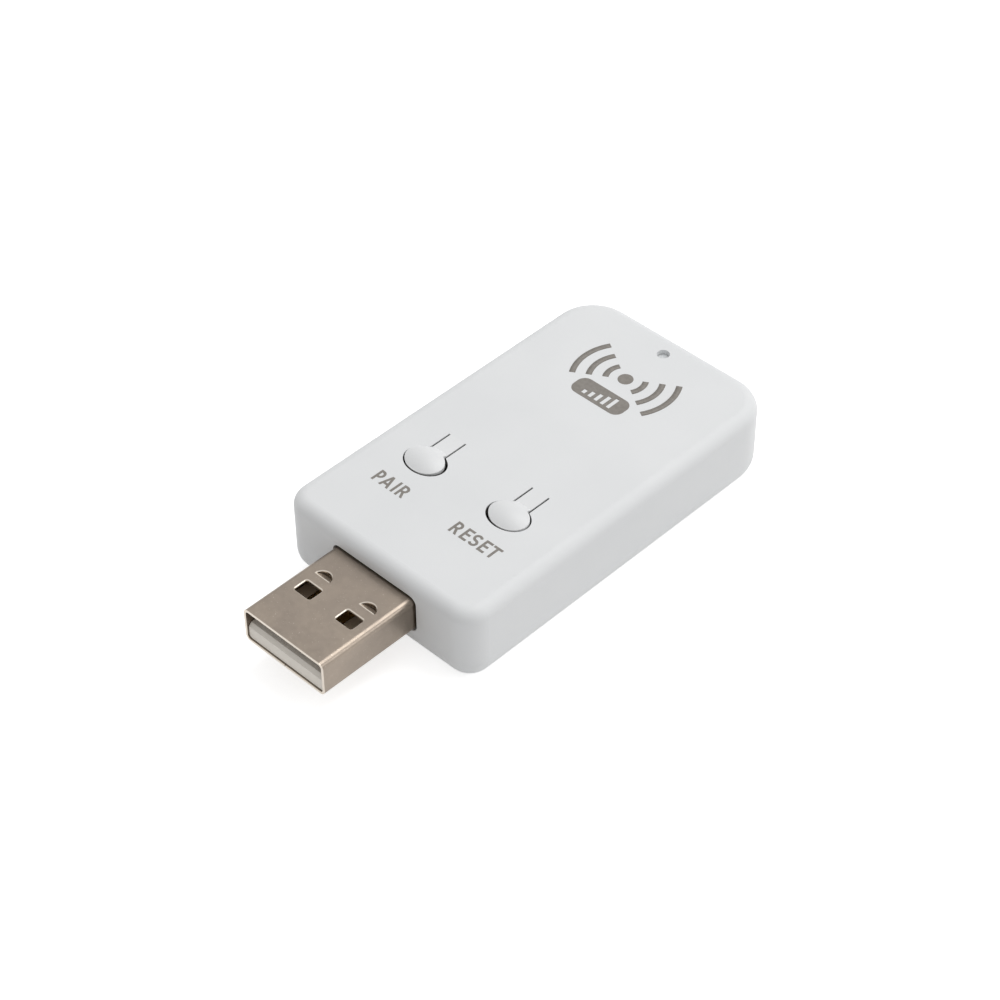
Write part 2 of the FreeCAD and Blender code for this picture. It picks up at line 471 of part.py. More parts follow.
def build_plug_shell():
    """Steel sheet folded into a tube: a seam below, four windows, two bent-in lances and two legs."""
    body = new_body("plug_shell")
    section = new_sketch(body, "section", "XZ_Plane", up=PLUG_MIDDLE, out="-sizes.plug_inside")
    rounded_rectangle(section, "sizes.plug_width", "sizes.plug_height", "sizes.bend_radius")
    rounded_rectangle(section, "sizes.plug_width - 2 * sizes.sheet_thickness",
                      "sizes.plug_height - 2 * sizes.sheet_thickness",
                      "max(sizes.bend_radius - sizes.sheet_thickness; sizes.sheet_thickness / 3)")
    pad(body, "tube", section, "sizes.plug_inside + sizes.plug_reach")

    window = new_sketch(body, "window_outline", right="sizes.window_spread", out=f"{PLUG_TOP} + 1",
                        up="sizes.window_front + sizes.window_length / 2 - sizes.plug_reach")
    rounded_rectangle(window, "sizes.window_width", "sizes.window_length", "sizes.window_corner_radius")
    windows = pocket(body, "window", window, "0", through=True)

    hinge = "sizes.lance_front - sizes.plug_reach"
    cutout = new_sketch(body, "lance_cutout", right="sizes.lance_spread", up=hinge, out=PLUG_TOP)
    half_moon(cutout, "sizes.lance_width", "sizes.lance_length")
    openings = pocket(body, "lance_opening", cutout, "sizes.sheet_thickness")
    cuts = mirrored(body, "other_cuts", [windows, openings])
    plate = size_of("sizes.plug_width / 2 - sizes.bend_radius")
    fold = size_of(hinge)

    def rims_a_cut(edge):
        """Whether an edge runs round a window or a lance on the upper face, but isn't a lance's fold."""
        box = edge.BoundBox
        on_plate = lies_at(PLUG_TOP)(edge) and max(-box.XMin, box.XMax) < plate - 1e-4
        return on_plate and max(abs(box.YMin - fold), abs(box.YMax - fold)) > 1e-4

    dressed(body, "Chamfer", "eased_rims", cuts, "sizes.rim_bevel", rims_a_cut)
    flap = new_sketch(body, "lance_outline", right="sizes.lance_spread", up=hinge, out=PLUG_TOP)
    bent_down = FreeCAD.Rotation(FreeCAD.Vector(-1, 0, 0), size_of("sizes.lance_angle"))
    flap.AttachmentOffset = FreeCAD.Placement(flap.AttachmentOffset.Base, bent_down)
    flap.setExpression("AttachmentOffset.Rotation.Angle", "sizes.lance_angle * 1 deg")
    half_moon(flap, "sizes.lance_width - 2 * sizes.lance_clearance",
              "sizes.lance_length - sizes.lance_clearance")
    lance = pad(body, "lance", flap, "sizes.sheet_thickness", backwards=True)

    leg_height = f"(sizes.plug_height / 2 + sizes.board_thickness + sizes.leg_overhang)"
    leg = new_sketch(body, "leg_outline", up="sizes.leg_setback", out=PLUG_MIDDLE,
                     right="sizes.plug_width / 2 - sizes.sheet_thickness / 2")
    rectangle(leg, "sizes.sheet_thickness", "sizes.leg_width")
    legs = pad(body, "leg", leg, leg_height, backwards=True)
    mirrored(body, "other_side", [lance, legs])

    seam = new_sketch(body, "seam_outline", out=f"{BOARD_TOP} - sizes.sheet_thickness")
    near, far = "-(sizes.seam_gap / 2)", "(sizes.seam_gap / 2)"
    tail, mouth, middle = "sizes.plug_inside + 1", "-sizes.plug_reach - 1", "-(sizes.plug_reach / 2)"
    neck, flare = "(sizes.seam_jog / 2)", "(sizes.seam_jog * 3 / 4)"
    reach = "sizes.seam_jog"
    polygon(seam, [(near, mouth), (far, mouth), (far, f"{middle} - {neck}"),
                   (f"{far} + {reach}", f"{middle} - {flare}"), (f"{far} + {reach}", f"{middle} + {flare}"),
                   (far, f"{middle} + {neck}"), (far, tail), (near, tail),
                   (near, f"{middle} + {neck} - sizes.seam_gap"),
                   (f"{near} + {reach}", f"{middle} + {flare} - 1.5 * sizes.seam_gap"),
                   (f"{near} + {reach}", f"{middle} - {flare} + 1.5 * sizes.seam_gap"),
                   (near, f"{middle} - {neck} + sizes.seam_gap")])
    pocket(body, "seam", seam, "2 * sizes.sheet_thickness", backwards=True)
    return body


def build_plug_insulator():
    """A moulded block in the shell with a tongue that reaches forward and a groove for each contact."""
    body = new_body("plug_insulator")
    room = "(sizes.sheet_thickness + sizes.insulator_clearance)"
    section = new_sketch(body, "section", "XZ_Plane", up=PLUG_MIDDLE, out=f"-{BLOCK_REAR}")
    rounded_rectangle(section, f"sizes.plug_width - 2 * {room}", f"sizes.plug_height - 2 * {room}",
                      "max(sizes.bend_radius - sizes.sheet_thickness; sizes.sheet_thickness / 3)")
    pad(body, "block", section, f"{BLOCK_REAR} + sizes.plug_reach - sizes.tongue_recess")
    free = new_sketch(body, "free_space", up="(sizes.block_front / 2) - sizes.plug_reach", out=TONGUE_TOP)
    rectangle(free, "sizes.plug_width", "sizes.block_front")
    space = pocket(body, "space", free, "sizes.plug_height", backwards=True)
    tip = -size_of("sizes.plug_reach - sizes.tongue_recess")
    dressed(body, "Chamfer", "tongue_nose", space, "sizes.tongue_chamfer",
            lambda edge: lies_at(TONGUE_TOP)(edge) and edge.BoundBox.YMax < tip + 1e-4)
    grooves = []
    for name, spread, setback in (("power", "sizes.power_spread", "sizes.power_setback"),
                                  ("signal", "sizes.signal_spread", "sizes.signal_setback")):
        front = f"({setback} - sizes.contact_clearance - sizes.plug_reach)"
        rear = f"({BLOCK_REAR} + 1)"
        groove = new_sketch(body, f"{name}_groove_outline", right=spread, up=f"({front} + {rear}) / 2",
                            out=f"{TONGUE_TOP} + sizes.contact_clearance")
        rectangle(groove, "sizes.contact_width + 2 * sizes.contact_clearance", f"{rear} - {front}")
        grooves.append(pocket(body, f"{name}_groove", groove,
                              "sizes.contact_thickness + sizes.contact_clearance"))
    mirrored(body, "other_grooves", grooves)
    return body


def build_contact(label, x, setback):
    """A plated strip: along its groove, down behind the block and flat on the board to be soldered."""
    body = new_body(label, x=x)
    thick = "sizes.contact_thickness"
    front = f"({setback} - sizes.plug_reach)"
    inner_bend = f"{CONTACT_BEND} - {thick}"
    profile = new_sketch(body, "profile", "YZ_Plane")
    polygon(profile, [(front, f"{TONGUE_TOP} - {thick}"), (front, TONGUE_TOP), (CONTACT_BEND, TONGUE_TOP),
                      (CONTACT_BEND, f"{BOARD_TOP} + {thick}"), (CONTACT_END, f"{BOARD_TOP} + {thick}"),
                      (CONTACT_END, BOARD_TOP), (inner_bend, BOARD_TOP),
                      (inner_bend, f"{TONGUE_TOP} - {thick}")])
    pad(body, "strip", profile, "sizes.contact_width", both_ways=True)
    return body


def build_button(label, x, outward):
    """An oval pad with a crowned top on a springy arm, and a presser below it that meets its switch.

    The outline is an upright prism. Its top is cut to the face of the housing and to a shallow crown,
    a barrel that runs out at the pad's front and into the arm behind it."""
    outline = new_body(f"{label}_outline", x=x)
    tall = "(sizes.paddle_thickness + sizes.crown_height)"
    oval = new_sketch(outline, "pad_outline", right=f"({outward}) * sizes.pad_shift",
                      up="sizes.button_setback", out=PADDLE_BOTTOM)
    ellipse(oval, "sizes.opening_width - 2 * sizes.button_gap", "sizes.opening_length - 2 * sizes.button_gap")
    pad(outline, "pad", oval, tall)
    arm = new_sketch(outline, "arm_outline", up=f"({ARM_ROOT} + sizes.button_setback) / 2", out=PADDLE_BOTTOM)
    rectangle(arm, "sizes.arm_width", "sizes.arm_length")
    pad(outline, "arm", arm, tall)
    presser = new_sketch(outline, "presser_outline", up="sizes.button_setback", out=PADDLE_BOTTOM)
    circle(presser, "sizes.presser_diameter")
    pad(outline, "presser", presser, f"{PADDLE_BOTTOM} - {PLUNGER_TOP} - sizes.presser_gap", backwards=True)

    top = new_body(f"{label}_top", x=x)
    slab = new_sketch(top, "slab_outline", up="sizes.button_setback", out=BOARD_TOP)
    rectangle(slab, "2 * sizes.opening_width", "2 * (sizes.arm_length + sizes.opening_length)")
    pad(top, "slab", slab, f"sizes.body_height - {BOARD_TOP}")
    crown_y = "(sizes.button_setback + sizes.crown_shift)"
    belly = new_sketch(top, "crown_profile", "YZ_Plane", right=crown_y,
                       up="sizes.body_height + sizes.crown_height - sizes.crown_radius_across")
    barrel_profile(belly, "(sizes.opening_length * 2 / 3)", "sizes.crown_radius_across",
                   "sizes.crown_radius_along")
    revolved(top, "crown", belly, "H_Axis")

    button = doc.addObject("Part::Common", label)
    button.Base = outline
    button.Tool = top
    doc.recompute()
    return button


def build_switch(name, x):
    """A surface-mounted tact switch in four pieces: moulded base, snap disc, plunger and folded cover."""
    spot = dict(x=x, y="sizes.button_setback", z=BOARD_TOP)
    well_floor = "sizes.switch_well_floor"

    base = new_body(f"{name}_switch_base", **spot)
    square = new_sketch(base, "outline")
    rectangle(square, "sizes.switch_side", "sizes.switch_side")
    pad(base, "block", square, "sizes.switch_base_height")
    well = new_sketch(base, "well_outline", out="sizes.switch_base_height")
    circle(well, "sizes.switch_well")
    pocket(base, "well", well, f"sizes.switch_base_height - {well_floor}")
    terminal = new_sketch(base, "terminal_outline", right="sizes.terminal_spread", up="sizes.switch_side / 2")
    rectangle(terminal, "sizes.terminal_width", "2 * sizes.terminal_reach")
    near = pad(base, "terminal", terminal, "sizes.terminal_thickness")
    mirrored(base, "terminal_pair", [near])
    far = new_sketch(base, "far_terminal_outline", right="sizes.terminal_spread", up="-sizes.switch_side / 2")
    rectangle(far, "sizes.terminal_width", "2 * sizes.terminal_reach")
    mirrored(base, "far_terminal_pair", [pad(base, "far_terminal", far, "sizes.terminal_thickness")])

    disc = new_body(f"{name}_switch_dome", **spot)
    edge = "(sizes.switch_well / 2 - sizes.plunger_clearance)"
    rise, thick = "sizes.snap_disc_rise", "sizes.snap_disc_thickness"
    profile = new_sketch(disc, "profile", "XZ_Plane", up=well_floor)
    polygon(profile, [("0", rise), (edge, "0"), (edge, thick), ("0", f"{rise} + {thick}")])
    revolved(disc, "disc", profile)

    plunger = new_body(f"{name}_switch_plunger", **spot)
    foot = f"({well_floor} + {rise} + {thick} + sizes.switch_travel + sizes.presser_gap)"
    shoulder = "(sizes.switch_base_height - sizes.presser_gap)"
    wide = "(sizes.switch_well / 2 - sizes.plunger_clearance)"
    stem = "(sizes.stem_diameter / 2)"
    tip = "sizes.switch_height"
    profile = new_sketch(plunger, "profile", "XZ_Plane")
    polygon(profile, [("0", foot), (wide, foot), (wide, shoulder), (stem, shoulder), (stem, tip), ("0", tip)])
    revolved(plunger, "plunger", profile)

    cover = new_body(f"{name}_switch_cover", **spot)
    folded = new_sketch(cover, "profile", "XZ_Plane")
    inner_top, inner = "sizes.switch_base_height", "(sizes.switch_side / 2)"
    outer_top, outer = f"({inner_top} + sizes.switch_sheet)", f"({inner} + sizes.switch_sheet)"
    hem = f"({inner_top} - sizes.skirt_height)"
    polygon(folded, [(f"-{outer}", hem), (f"-{outer}", outer_top), (outer, outer_top), (outer, hem),
                     (inner, hem), (inner, inner_top), (f"-{inner}", inner_top), (f"-{inner}", hem)])
    pad(cover, "plate", folded, "sizes.switch_side", both_ways=True)
    hole = new_sketch(cover, "hole_outline", out=f"{inner_top} + 1")
    circle(hole, "sizes.stem_diameter + 2 * sizes.stem_clearance")
    pocket(cover, "hole", hole, "0", through=True)
    return [base, disc, plunger, cover]


def build_light():
    """A light on the board, and the clear guide above it, held in the cover's collar up to its shoulder."""
    led = doc.addObject("Part::Box", "status_led")
    led.setExpression("Length", "sizes.led_width")
    led.setExpression("Width", "sizes.led_length")
    led.setExpression("Height", "sizes.led_height")
    place(led, "-sizes.led_width / 2", f"{LIGHT_Y} - sizes.led_length / 2", BOARD_TOP)

    guide = new_body("light_guide", y=LIGHT_Y)
    tip = "(sizes.light_hole_diameter / 2 - sizes.guide_clearance)"
    stem = "(sizes.guide_diameter / 2)"
    foot = f"({BOARD_TOP} + sizes.led_height + sizes.guide_gap)"
    window = "(sizes.body_height - sizes.guide_recess)"
    profile = new_sketch(guide, "profile", "XZ_Plane")
    polygon(profile, [("0", foot), (stem, foot), (stem, CEILING), (tip, CEILING), (tip, window),
                      ("0", window)])
    revolved(guide, "guide", profile)
    return [led, guide]


def build_marked_chip(label, width, length, height, x, y):
    """A moulded package with a sunk square mark at its first pin."""
    case = doc.addObject("Part::Box", f"{label}_case")
    for side, size in (("Length", width), ("Width", length), ("Height", height)):
        case.setExpression(side, size)
    case.setExpression("Placement.Base.x", f"-({width}) / 2")
    case.setExpression("Placement.Base.y", f"-({length}) / 2")
    mark = doc.addObject("Part::Box", f"{label}_mark")
    mark.setExpression("Length", "sizes.chip_mark_side")
    mark.setExpression("Width", "sizes.chip_mark_side")
    mark.setExpression("Height", "2 * sizes.chip_mark_depth")
    mark.setExpression("Placement.Base.x", f"sizes.chip_mark_side / 2 - ({width}) / 2")
    mark.setExpression("Placement.Base.y", f"({length}) / 2 - 1.5 * sizes.chip_mark_side")
    mark.setExpression("Placement.Base.z", f"({height}) - sizes.chip_mark_depth")
    chip = doc.addObject("Part::Cut", label)
    chip.Base = case
    chip.Tool = mark
    place(chip, x, y, BOARD_TOP)
    return chip


def build_shield_can():
    """A sheet metal lid with a vent hole, soldered over the radio."""
    body = new_body("shield_can", y=CAN_Y, z=BOARD_TOP)
    outline = new_sketch(body, "outline")
    rectangle(outline, "sizes.can_side", "sizes.can_side")
    pad(body, "box", outline, "sizes.can_height")
    inside = new_sketch(body, "inside")
    rectangle(inside, "sizes.can_side - 2 * sizes.can_sheet", "sizes.can_side - 2 * sizes.can_sheet")
    pocket(body, "hollow", inside, "sizes.can_height - sizes.can_sheet", backwards=True)
    vent = new_sketch(body, "vent_outline", out="sizes.can_height + 1")
    circle(vent, "sizes.can_hole_diameter")
    pocket(body, "vent", vent, "0", through=True)
    return body


def build_voltage_regulator():
    """A three-lead package, one lead on one side and two on the other."""
    body = new_body("voltage_regulator", y=REGULATOR_Y, z=BOARD_TOP)
    leads = [("middle_lead", "0", "1"), ("left_lead", "-sizes.lead_spread", "-1"),
             ("right_lead", "sizes.lead_spread", "-1")]
    case = new_sketch(body, "case_outline", out="sizes.lead_thickness / 2")
    rectangle(case, "sizes.regulator_width", "sizes.regulator_length")
    pad(body, "case", case, "sizes.regulator_height - sizes.lead_thickness / 2")
    for name, x, side in leads:
        lead = new_sketch(body, f"{name}_outline", right=x, up=f"({side}) * sizes.regulator_length / 2")
        rectangle(lead, "sizes.lead_width", "2 * sizes.regulator_lead")
        pad(body, name, lead, "sizes.lead_thickness")
    return body


def build_inductor():
    body = new_body("inductor", y=INDUCTOR_Y, z=BOARD_TOP)
    outline = new_sketch(body, "outline")
    rounded_rectangle(outline, "sizes.inductor_side", "sizes.inductor_side", "sizes.inductor_corner")
    pad(body, "core", outline, "sizes.inductor_height")
    return body


def build_antenna():
    """A flat metal strip that winds to and fro along the rear of the board."""
    middle = f"(sizes.body_length - {BOARD_INSET} - sizes.antenna_inset - sizes.antenna_length / 2)"
    body = new_body("antenna", y=middle, z=BOARD_TOP)
    outline = new_sketch(body, "outline")
    polygon(outline, antenna_outline())
    pad(body, "strip", outline, "sizes.antenna_thickness")
    return body


def antenna_outline():
    """The winding strip's outline: its upper edge from left to right, then its lower edge back."""
    turns = int(size_of("sizes.antenna_turns"))
    trace = "sizes.antenna_trace"
    pitch = f"((sizes.antenna_width - {trace}) / {turns})"
    high, low = "(sizes.antenna_length / 2)", "(-sizes.antenna_length / 2)"
    upper, lower = [], []
    for turn in range(turns + 1):
        left = f"({turn} * {pitch} - sizes.antenna_width / 2)"
        right = f"({left} + {trace})"
        last = turn == turns
        if turn % 2 == 0:
            upper += [(left, low if turn == 0 else f"{low} + {trace}"), (left, high)]
            lower += [(right, low)] if last else [(right, low), (right, f"{high} - {trace}")]
            upper += [(right, high)] if last else []
        else:
            upper += [(right, high), (right, f"{low} + {trace}")]
            lower += [(left, f"{high} - {trace}"), (left, low)]
    return upper + lower[::-1]


def build_row(label, count, columns, rows, x, y, step_x, step_y):
    """Small parts of one kind in a straight row, as one group of separate solids."""
    pieces = []
    for index in range(int(size_of(count))):
        piece = doc.addObject("Part::Box", f"{label}_piece")
        piece.setExpression("Length", columns)
        piece.setExpression("Width", rows)
        piece.setExpression("Height", "sizes.small_part_height")
        offset = f"({index} - ({count} - 1) / 2)"
        piece.setExpression("Placement.Base.x", f"{offset} * {step_x} - {columns} / 2")
        piece.setExpression("Placement.Base.y", f"{offset} * {step_y} - {rows} / 2")
        pieces.append(piece)
    group = doc.addObject("Part::Compound", label)
    group.Links = pieces
    place(group, x, y, BOARD_TOP)
    return group


def build_board_parts():
    """What the board carries besides the switches and the light."""
    def flat_box(label, width, length, height, x, y):
        box = doc.addObject("Part::Box", label)
        for side, size in (("Length", width), ("Width", length), ("Height", height)):
            box.setExpression(side, size)
        place(box, f"{x} - {width} / 2", f"{y} - {length} / 2", BOARD_TOP)
        return box

    can_rear = f"({CAN_Y} + sizes.can_side / 2)"
    chip_y = f"({CAN_Y} - sizes.can_side / 2 + sizes.can_sheet + sizes.chip_gap + sizes.chip_side / 2)"
    crystal_y = f"({chip_y} + sizes.chip_side / 2 + sizes.crystal_gap + sizes.crystal_length / 2)"
    return [
        build_marked_chip("radio_chip", "sizes.chip_side", "sizes.chip_side", "sizes.chip_height",
                          "0", chip_y),
        build_marked_chip("flash_chip", "sizes.memory_width", "sizes.memory_length", "sizes.memory_height",
                          f"sizes.memory_inset + sizes.memory_width / 2 - {BOARD_SIDE}", CAN_Y),
        flat_box("crystal", "sizes.crystal_width", "sizes.crystal_length", "sizes.crystal_height",
                 "0", crystal_y),
        flat_box("fuse", "sizes.fuse_width", "sizes.fuse_length", "sizes.fuse_height",
                 "sizes.guard_spread", GUARD_Y),
        flat_box("surge_diode", "sizes.diode_width", "sizes.diode_length", "sizes.diode_height",
                 "-sizes.guard_spread", GUARD_Y),
        build_row("capacitors", "sizes.capacitor_count", "sizes.small_part_width", "sizes.small_part_length",
                  "0", f"{can_rear} + sizes.capacitor_gap + sizes.small_part_length / 2",
                  "sizes.capacitor_spacing", "0"),
        build_row("resistors", "sizes.resistor_count", "sizes.small_part_length", "sizes.small_part_width",
                  f"{BOARD_SIDE} - sizes.resistor_inset", CAN_Y, "0", "sizes.resistor_spacing"),
        build_shield_can(),
        build_voltage_regulator(),
        build_inductor(),
        build_antenna(),
    ]


subparts = [build_top_cover(), build_bottom_cover(), build_circuit_board(), build_plug_shell(),
            build_plug_insulator()]
for contact, x, setback in (("contact_power", "-sizes.power_spread", "sizes.power_setback"),
                            ("contact_data_minus", "-sizes.signal_spread", "sizes.signal_setback"),
                            ("contact_data_plus", "sizes.signal_spread", "sizes.signal_setback"),
                            ("contact_ground", "sizes.power_spread", "sizes.power_setback")):
    subparts.append(build_contact(contact, x, setback))
for side, x, outward in (("pair", PAIR_X, "-1"), ("reset", RESET_X, "1")):
    subparts.append(build_button(f"{side}_button", x, outward))
    subparts += build_switch(side, x)
subparts += build_light()
subparts += build_board_parts()
doc.recompute()

for item in doc.Objects:
    if "Invalid" in item.State or "Error" in item.State:
        raise RuntimeError(f"{item.Name} did not build")
for subpart in subparts:
    if subpart.Shape.isNull() or not subpart.Shape.isValid():
        raise RuntimeError(f"{subpart.Label} has no valid shape")
os.makedirs("parts", exist_ok=True)
for subpart in subparts:
    subpart.Shape.exportStep(f"parts/{subpart.Label}.step")
print("sub-parts:", len(subparts))
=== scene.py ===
from math import cos, pi, radians, sin

import bpy
from mathutils import Matrix, Vector, geometry


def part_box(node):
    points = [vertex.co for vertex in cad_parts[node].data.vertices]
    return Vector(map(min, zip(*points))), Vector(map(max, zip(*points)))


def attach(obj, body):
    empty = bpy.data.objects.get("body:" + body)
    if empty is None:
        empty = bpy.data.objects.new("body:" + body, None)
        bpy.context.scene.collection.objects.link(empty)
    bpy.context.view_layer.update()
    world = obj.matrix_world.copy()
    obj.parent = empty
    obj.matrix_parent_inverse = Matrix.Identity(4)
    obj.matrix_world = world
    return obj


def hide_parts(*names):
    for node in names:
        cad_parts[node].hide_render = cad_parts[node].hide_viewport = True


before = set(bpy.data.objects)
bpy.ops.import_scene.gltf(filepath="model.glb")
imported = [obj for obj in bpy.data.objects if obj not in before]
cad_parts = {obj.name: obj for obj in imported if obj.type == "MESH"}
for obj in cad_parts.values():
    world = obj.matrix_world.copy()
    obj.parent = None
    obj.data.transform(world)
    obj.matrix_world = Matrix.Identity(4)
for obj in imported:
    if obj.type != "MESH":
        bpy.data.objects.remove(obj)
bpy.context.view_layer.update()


# The housing is a deep cover and a tray, snapped together at a seam low on the wall.
# Both are moulded in white plastic. The mould is spark-eroded, which leaves a fine satin grain,
# and the sheen is a little uneven where the melt met the mould's corners.

MM = 0.001
NOISE_RANGE = (0.35, 0.65)
GLOSS_PATCH = 6
SOFT_EDGE = 0.03 * MM
TOP_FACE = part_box("top_cover")[1].z
GAP_START = 0.16 * MM
GAP_END = 3 * MM
GAP_AROUND = 0.6 * MM
GAP_SIDE = 10.2 * MM
GAP_SHADE = (0.115, 0.108, 0.100)


def step(tree, kind, given, **settings):
    """Adds a node and fills its inputs, each with a plain value or with another node's output."""
    node = tree.nodes.new(kind)
    for name, value in settings.items():
        setattr(node, name, value)
    for key, value in given.items():
        if isinstance(value, bpy.types.NodeSocket):
            tree.links.new(value, node.inputs[key])
        else:
            node.inputs[key].default_value = value
    return node


def reckoned(tree, operation, *numbers):
    """A sum that a node works out."""
    return step(tree, "ShaderNodeMath", dict(enumerate(numbers)), operation=operation).outputs[0]


def own_place(tree):
    """Each point's place in the object's own coordinates."""
    return step(tree, "ShaderNodeTexCoord", {}).outputs["Object"]


def coordinate(tree, axis):
    """The object's own X, Y or Z at each point."""
    return step(tree, "ShaderNodeSeparateXYZ", {0: own_place(tree)}).outputs[axis]


def grain(tree, size, detail=2, stretch=(1, 1, 1)):
    """A noise fixed to the object, whose grains are about that many millimetres wide."""
    turned = step(tree, "ShaderNodeMapping", {"Vector": own_place(tree), "Scale": stretch})
    noise = step(tree, "ShaderNodeTexNoise", {"Vector": turned.outputs["Vector"],
                                              "Scale": 1 / (size * MM), "Detail": detail})
    return noise.outputs["Fac"]


def spread(tree, source, low, high, at=NOISE_RANGE):
    """Turns one range of numbers into another."""
    return step(tree, "ShaderNodeMapRange", {"Value": source, "From Min": at[0], "From Max": at[1],
                                             "To Min": low, "To Max": high}).outputs["Result"]


def tint(tree, source, dark, light):
    """Turns a noise into the shades between two colours."""
    ramp = step(tree, "ShaderNodeValToRGB", {"Fac": source})
    for stop, place, colour in zip(ramp.color_ramp.elements, NOISE_RANGE, (dark, light)):
        stop.position = place
        stop.color = (*colour, 1)
    return ramp.outputs["Color"]


def shader_of(material):
    """The shader that gives a finish its look."""
    return next(node for node in material.node_tree.nodes if node.type == "BSDF_PRINCIPLED")


def painted(name, dark, light, patch, matt, fine, height, metal=0.0, stretch=(1, 1, 1)):
    """A finish whose colour drifts between two shades in patches, with uneven gloss and a fine grain."""
    material = bpy.data.materials.new(name)
    material.use_nodes = True
    tree = material.node_tree
    tree.nodes.clear()
    colour = tint(tree, grain(tree, patch), dark, light)
    gloss = spread(tree, grain(tree, GLOSS_PATCH * fine, detail=3, stretch=stretch), *matt)
    bump = step(tree, "ShaderNodeBump", {"Height": grain(tree, fine, stretch=stretch),
                                         "Distance": height * MM, "Strength": 0.5})
    shader = step(tree, "ShaderNodeBsdfPrincipled", {"Base Color": colour, "Roughness": gloss,
                                                     "Metallic": metal, "Normal": bump.outputs["Normal"]})
    step(tree, "ShaderNodeOutputMaterial", {"Surface": shader.outputs["BSDF"]})
    return material


def laid_over(material, mask, colour):
    """Lays another colour over a finish where the mask is 1; it carries real marks and also painted shade
    and painted highlights.
    """
    tree = material.node_tree
    base = shader_of(material).inputs["Base Color"]
    under = base.links[0].from_socket
    mix = step(tree, "ShaderNodeMix", {0: mask, 6: under, 7: (*colour, 1)}, data_type="RGBA")
    tree.links.new(mix.outputs[2], base)


def between(tree, value, low, high):
    """1 where a number lies between two others, and 0 elsewhere, with soft edges."""
    rise = spread(tree, value, 0, 1, at=(low - SOFT_EDGE, low + SOFT_EDGE))
    fall = spread(tree, value, 1, 0, at=(high - SOFT_EDGE, high + SOFT_EDGE))
    return reckoned(tree, "MULTIPLY", rise, fall)


def in_the_gap(tree):
    """1 down inside the gap round the buttons, and 0 elsewhere."""
    low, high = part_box("pair_button")
    deep = between(tree, coordinate(tree, "Z"), TOP_FACE - GAP_END, TOP_FACE - GAP_START)
    along = between(tree, coordinate(tree, "Y"), low.y - GAP_AROUND, high.y + GAP_AROUND)
    across = between(tree, reckoned(tree, "ABSOLUTE", coordinate(tree, "X")), 0, GAP_SIDE)
    return reckoned(tree, "MULTIPLY", reckoned(tree, "MULTIPLY", along, across), deep)


def clothe(material, *names):
    """Gives CAD nodes their material."""
    for name in names:
        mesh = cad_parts[name].data
        mesh.materials.clear()
        mesh.materials.append(material)


moulded_white = painted("moulded_white", dark=(0.780, 0.790, 0.797), light=(0.803, 0.812, 0.818),
                        patch=11, matt=(0.48, 0.58), fine=0.11, height=0.012)
# Painted shade: the cover's walls down inside the gap round the buttons are darkened to GAP_SHADE.
laid_over(moulded_white, in_the_gap(moulded_white.node_tree), GAP_SHADE)
clothe(moulded_white, "top_cover", "bottom_cover")


# Each button is an oval pad with a crowned top on an arm that bends, moulded in one with the cover.
# It has the cover's plastic and grain, a little glossier all over as if polished by fingers, and painted
# shade down in the gap round it.

paddle_white = painted("paddle_white", dark=(0.790, 0.798, 0.803), light=(0.812, 0.819, 0.823),
                       patch=7, matt=(0.34, 0.46), fine=0.11, height=0.010)
# Painted shade: the pad's sides down inside the gap are darkened to GAP_SHADE.
laid_over(paddle_white, in_the_gap(paddle_white.node_tree), GAP_SHADE)
clothe(paddle_white, "pair_button", "reset_button")


# The words PAIR and RESET are pad-printed below the buttons in thin, warm grey ink.
# The letters are plain and upright. Each is drawn as pen strokes of one width and merged into one film.
# What the pen draws is in millimetres, from the middle of the cover's front wall.

FRONT_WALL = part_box("top_cover")[0].y
INK_FILM = 0.018 * MM
INK_SUNK = 0.004 * MM
CLOSEST = 1e-6
HALF_PEN = 0.31 / 2
CAP_HEIGHT = 1.83
HEAD = CAP_HEIGHT - HALF_PEN
WORD_FOOT = 8.25
PAIR_STARTS = (-8.97, -7.83, -6.10, -5.42)
RESET_STARTS = (2.70, 4.23, 5.42, 6.85, 8.00)
grey_ink = painted("grey_ink", dark=(0.208, 0.190, 0.169), light=(0.244, 0.224, 0.201),
                   patch=0.5, matt=(0.42, 0.60), fine=0.05, height=0.004)


def ribbon(points):
    """The outline of one pen stroke along a line of points, with mitred corners."""
    points = [Vector(point) for point in points]
    runs = [(end - start).normalized() for start, end in zip(points, points[1:])]
    left = []
    right = []
    for point, before, after in zip(points, [runs[0]] + runs, runs + [runs[-1]]):
        across = (before.orthogonal() + after.orthogonal()).normalized()
        reach = across * (HALF_PEN / across.dot(before.orthogonal()))
        left.append(point + reach)
        right.append(point - reach)
    return right + left[::-1]


def bow(x, y, wide, high, start, end, steps=12):
    """Points on an arc of an ellipse between two angles in degrees."""
    angles = [radians(start + (end - start) * count / steps) for count in range(steps + 1)]
    return [(x + wide * cos(angle), y + high * sin(angle)) for angle in angles]


def slant(x_foot, x_head, high):
    """A sloping stroke whose two ends are cut level."""
    half = HALF_PEN * Vector((x_head - x_foot, high)).length / high
    return [(x_foot - half, 0), (x_foot + half, 0), (x_head + half, high), (x_head - half, high)]


def stem_and_bow(width, waist):
    """The stem of a P or an R, and the bow at its head."""
    round_off = (HEAD - waist) / 2
    turn = width - HALF_PEN - round_off
    around = bow(turn, waist + round_off, round_off, round_off, 90, -90)
    return [ribbon([(HALF_PEN, 0), (HALF_PEN, CAP_HEIGHT)]),
            ribbon([(HALF_PEN, HEAD)] + around + [(HALF_PEN, waist)])]


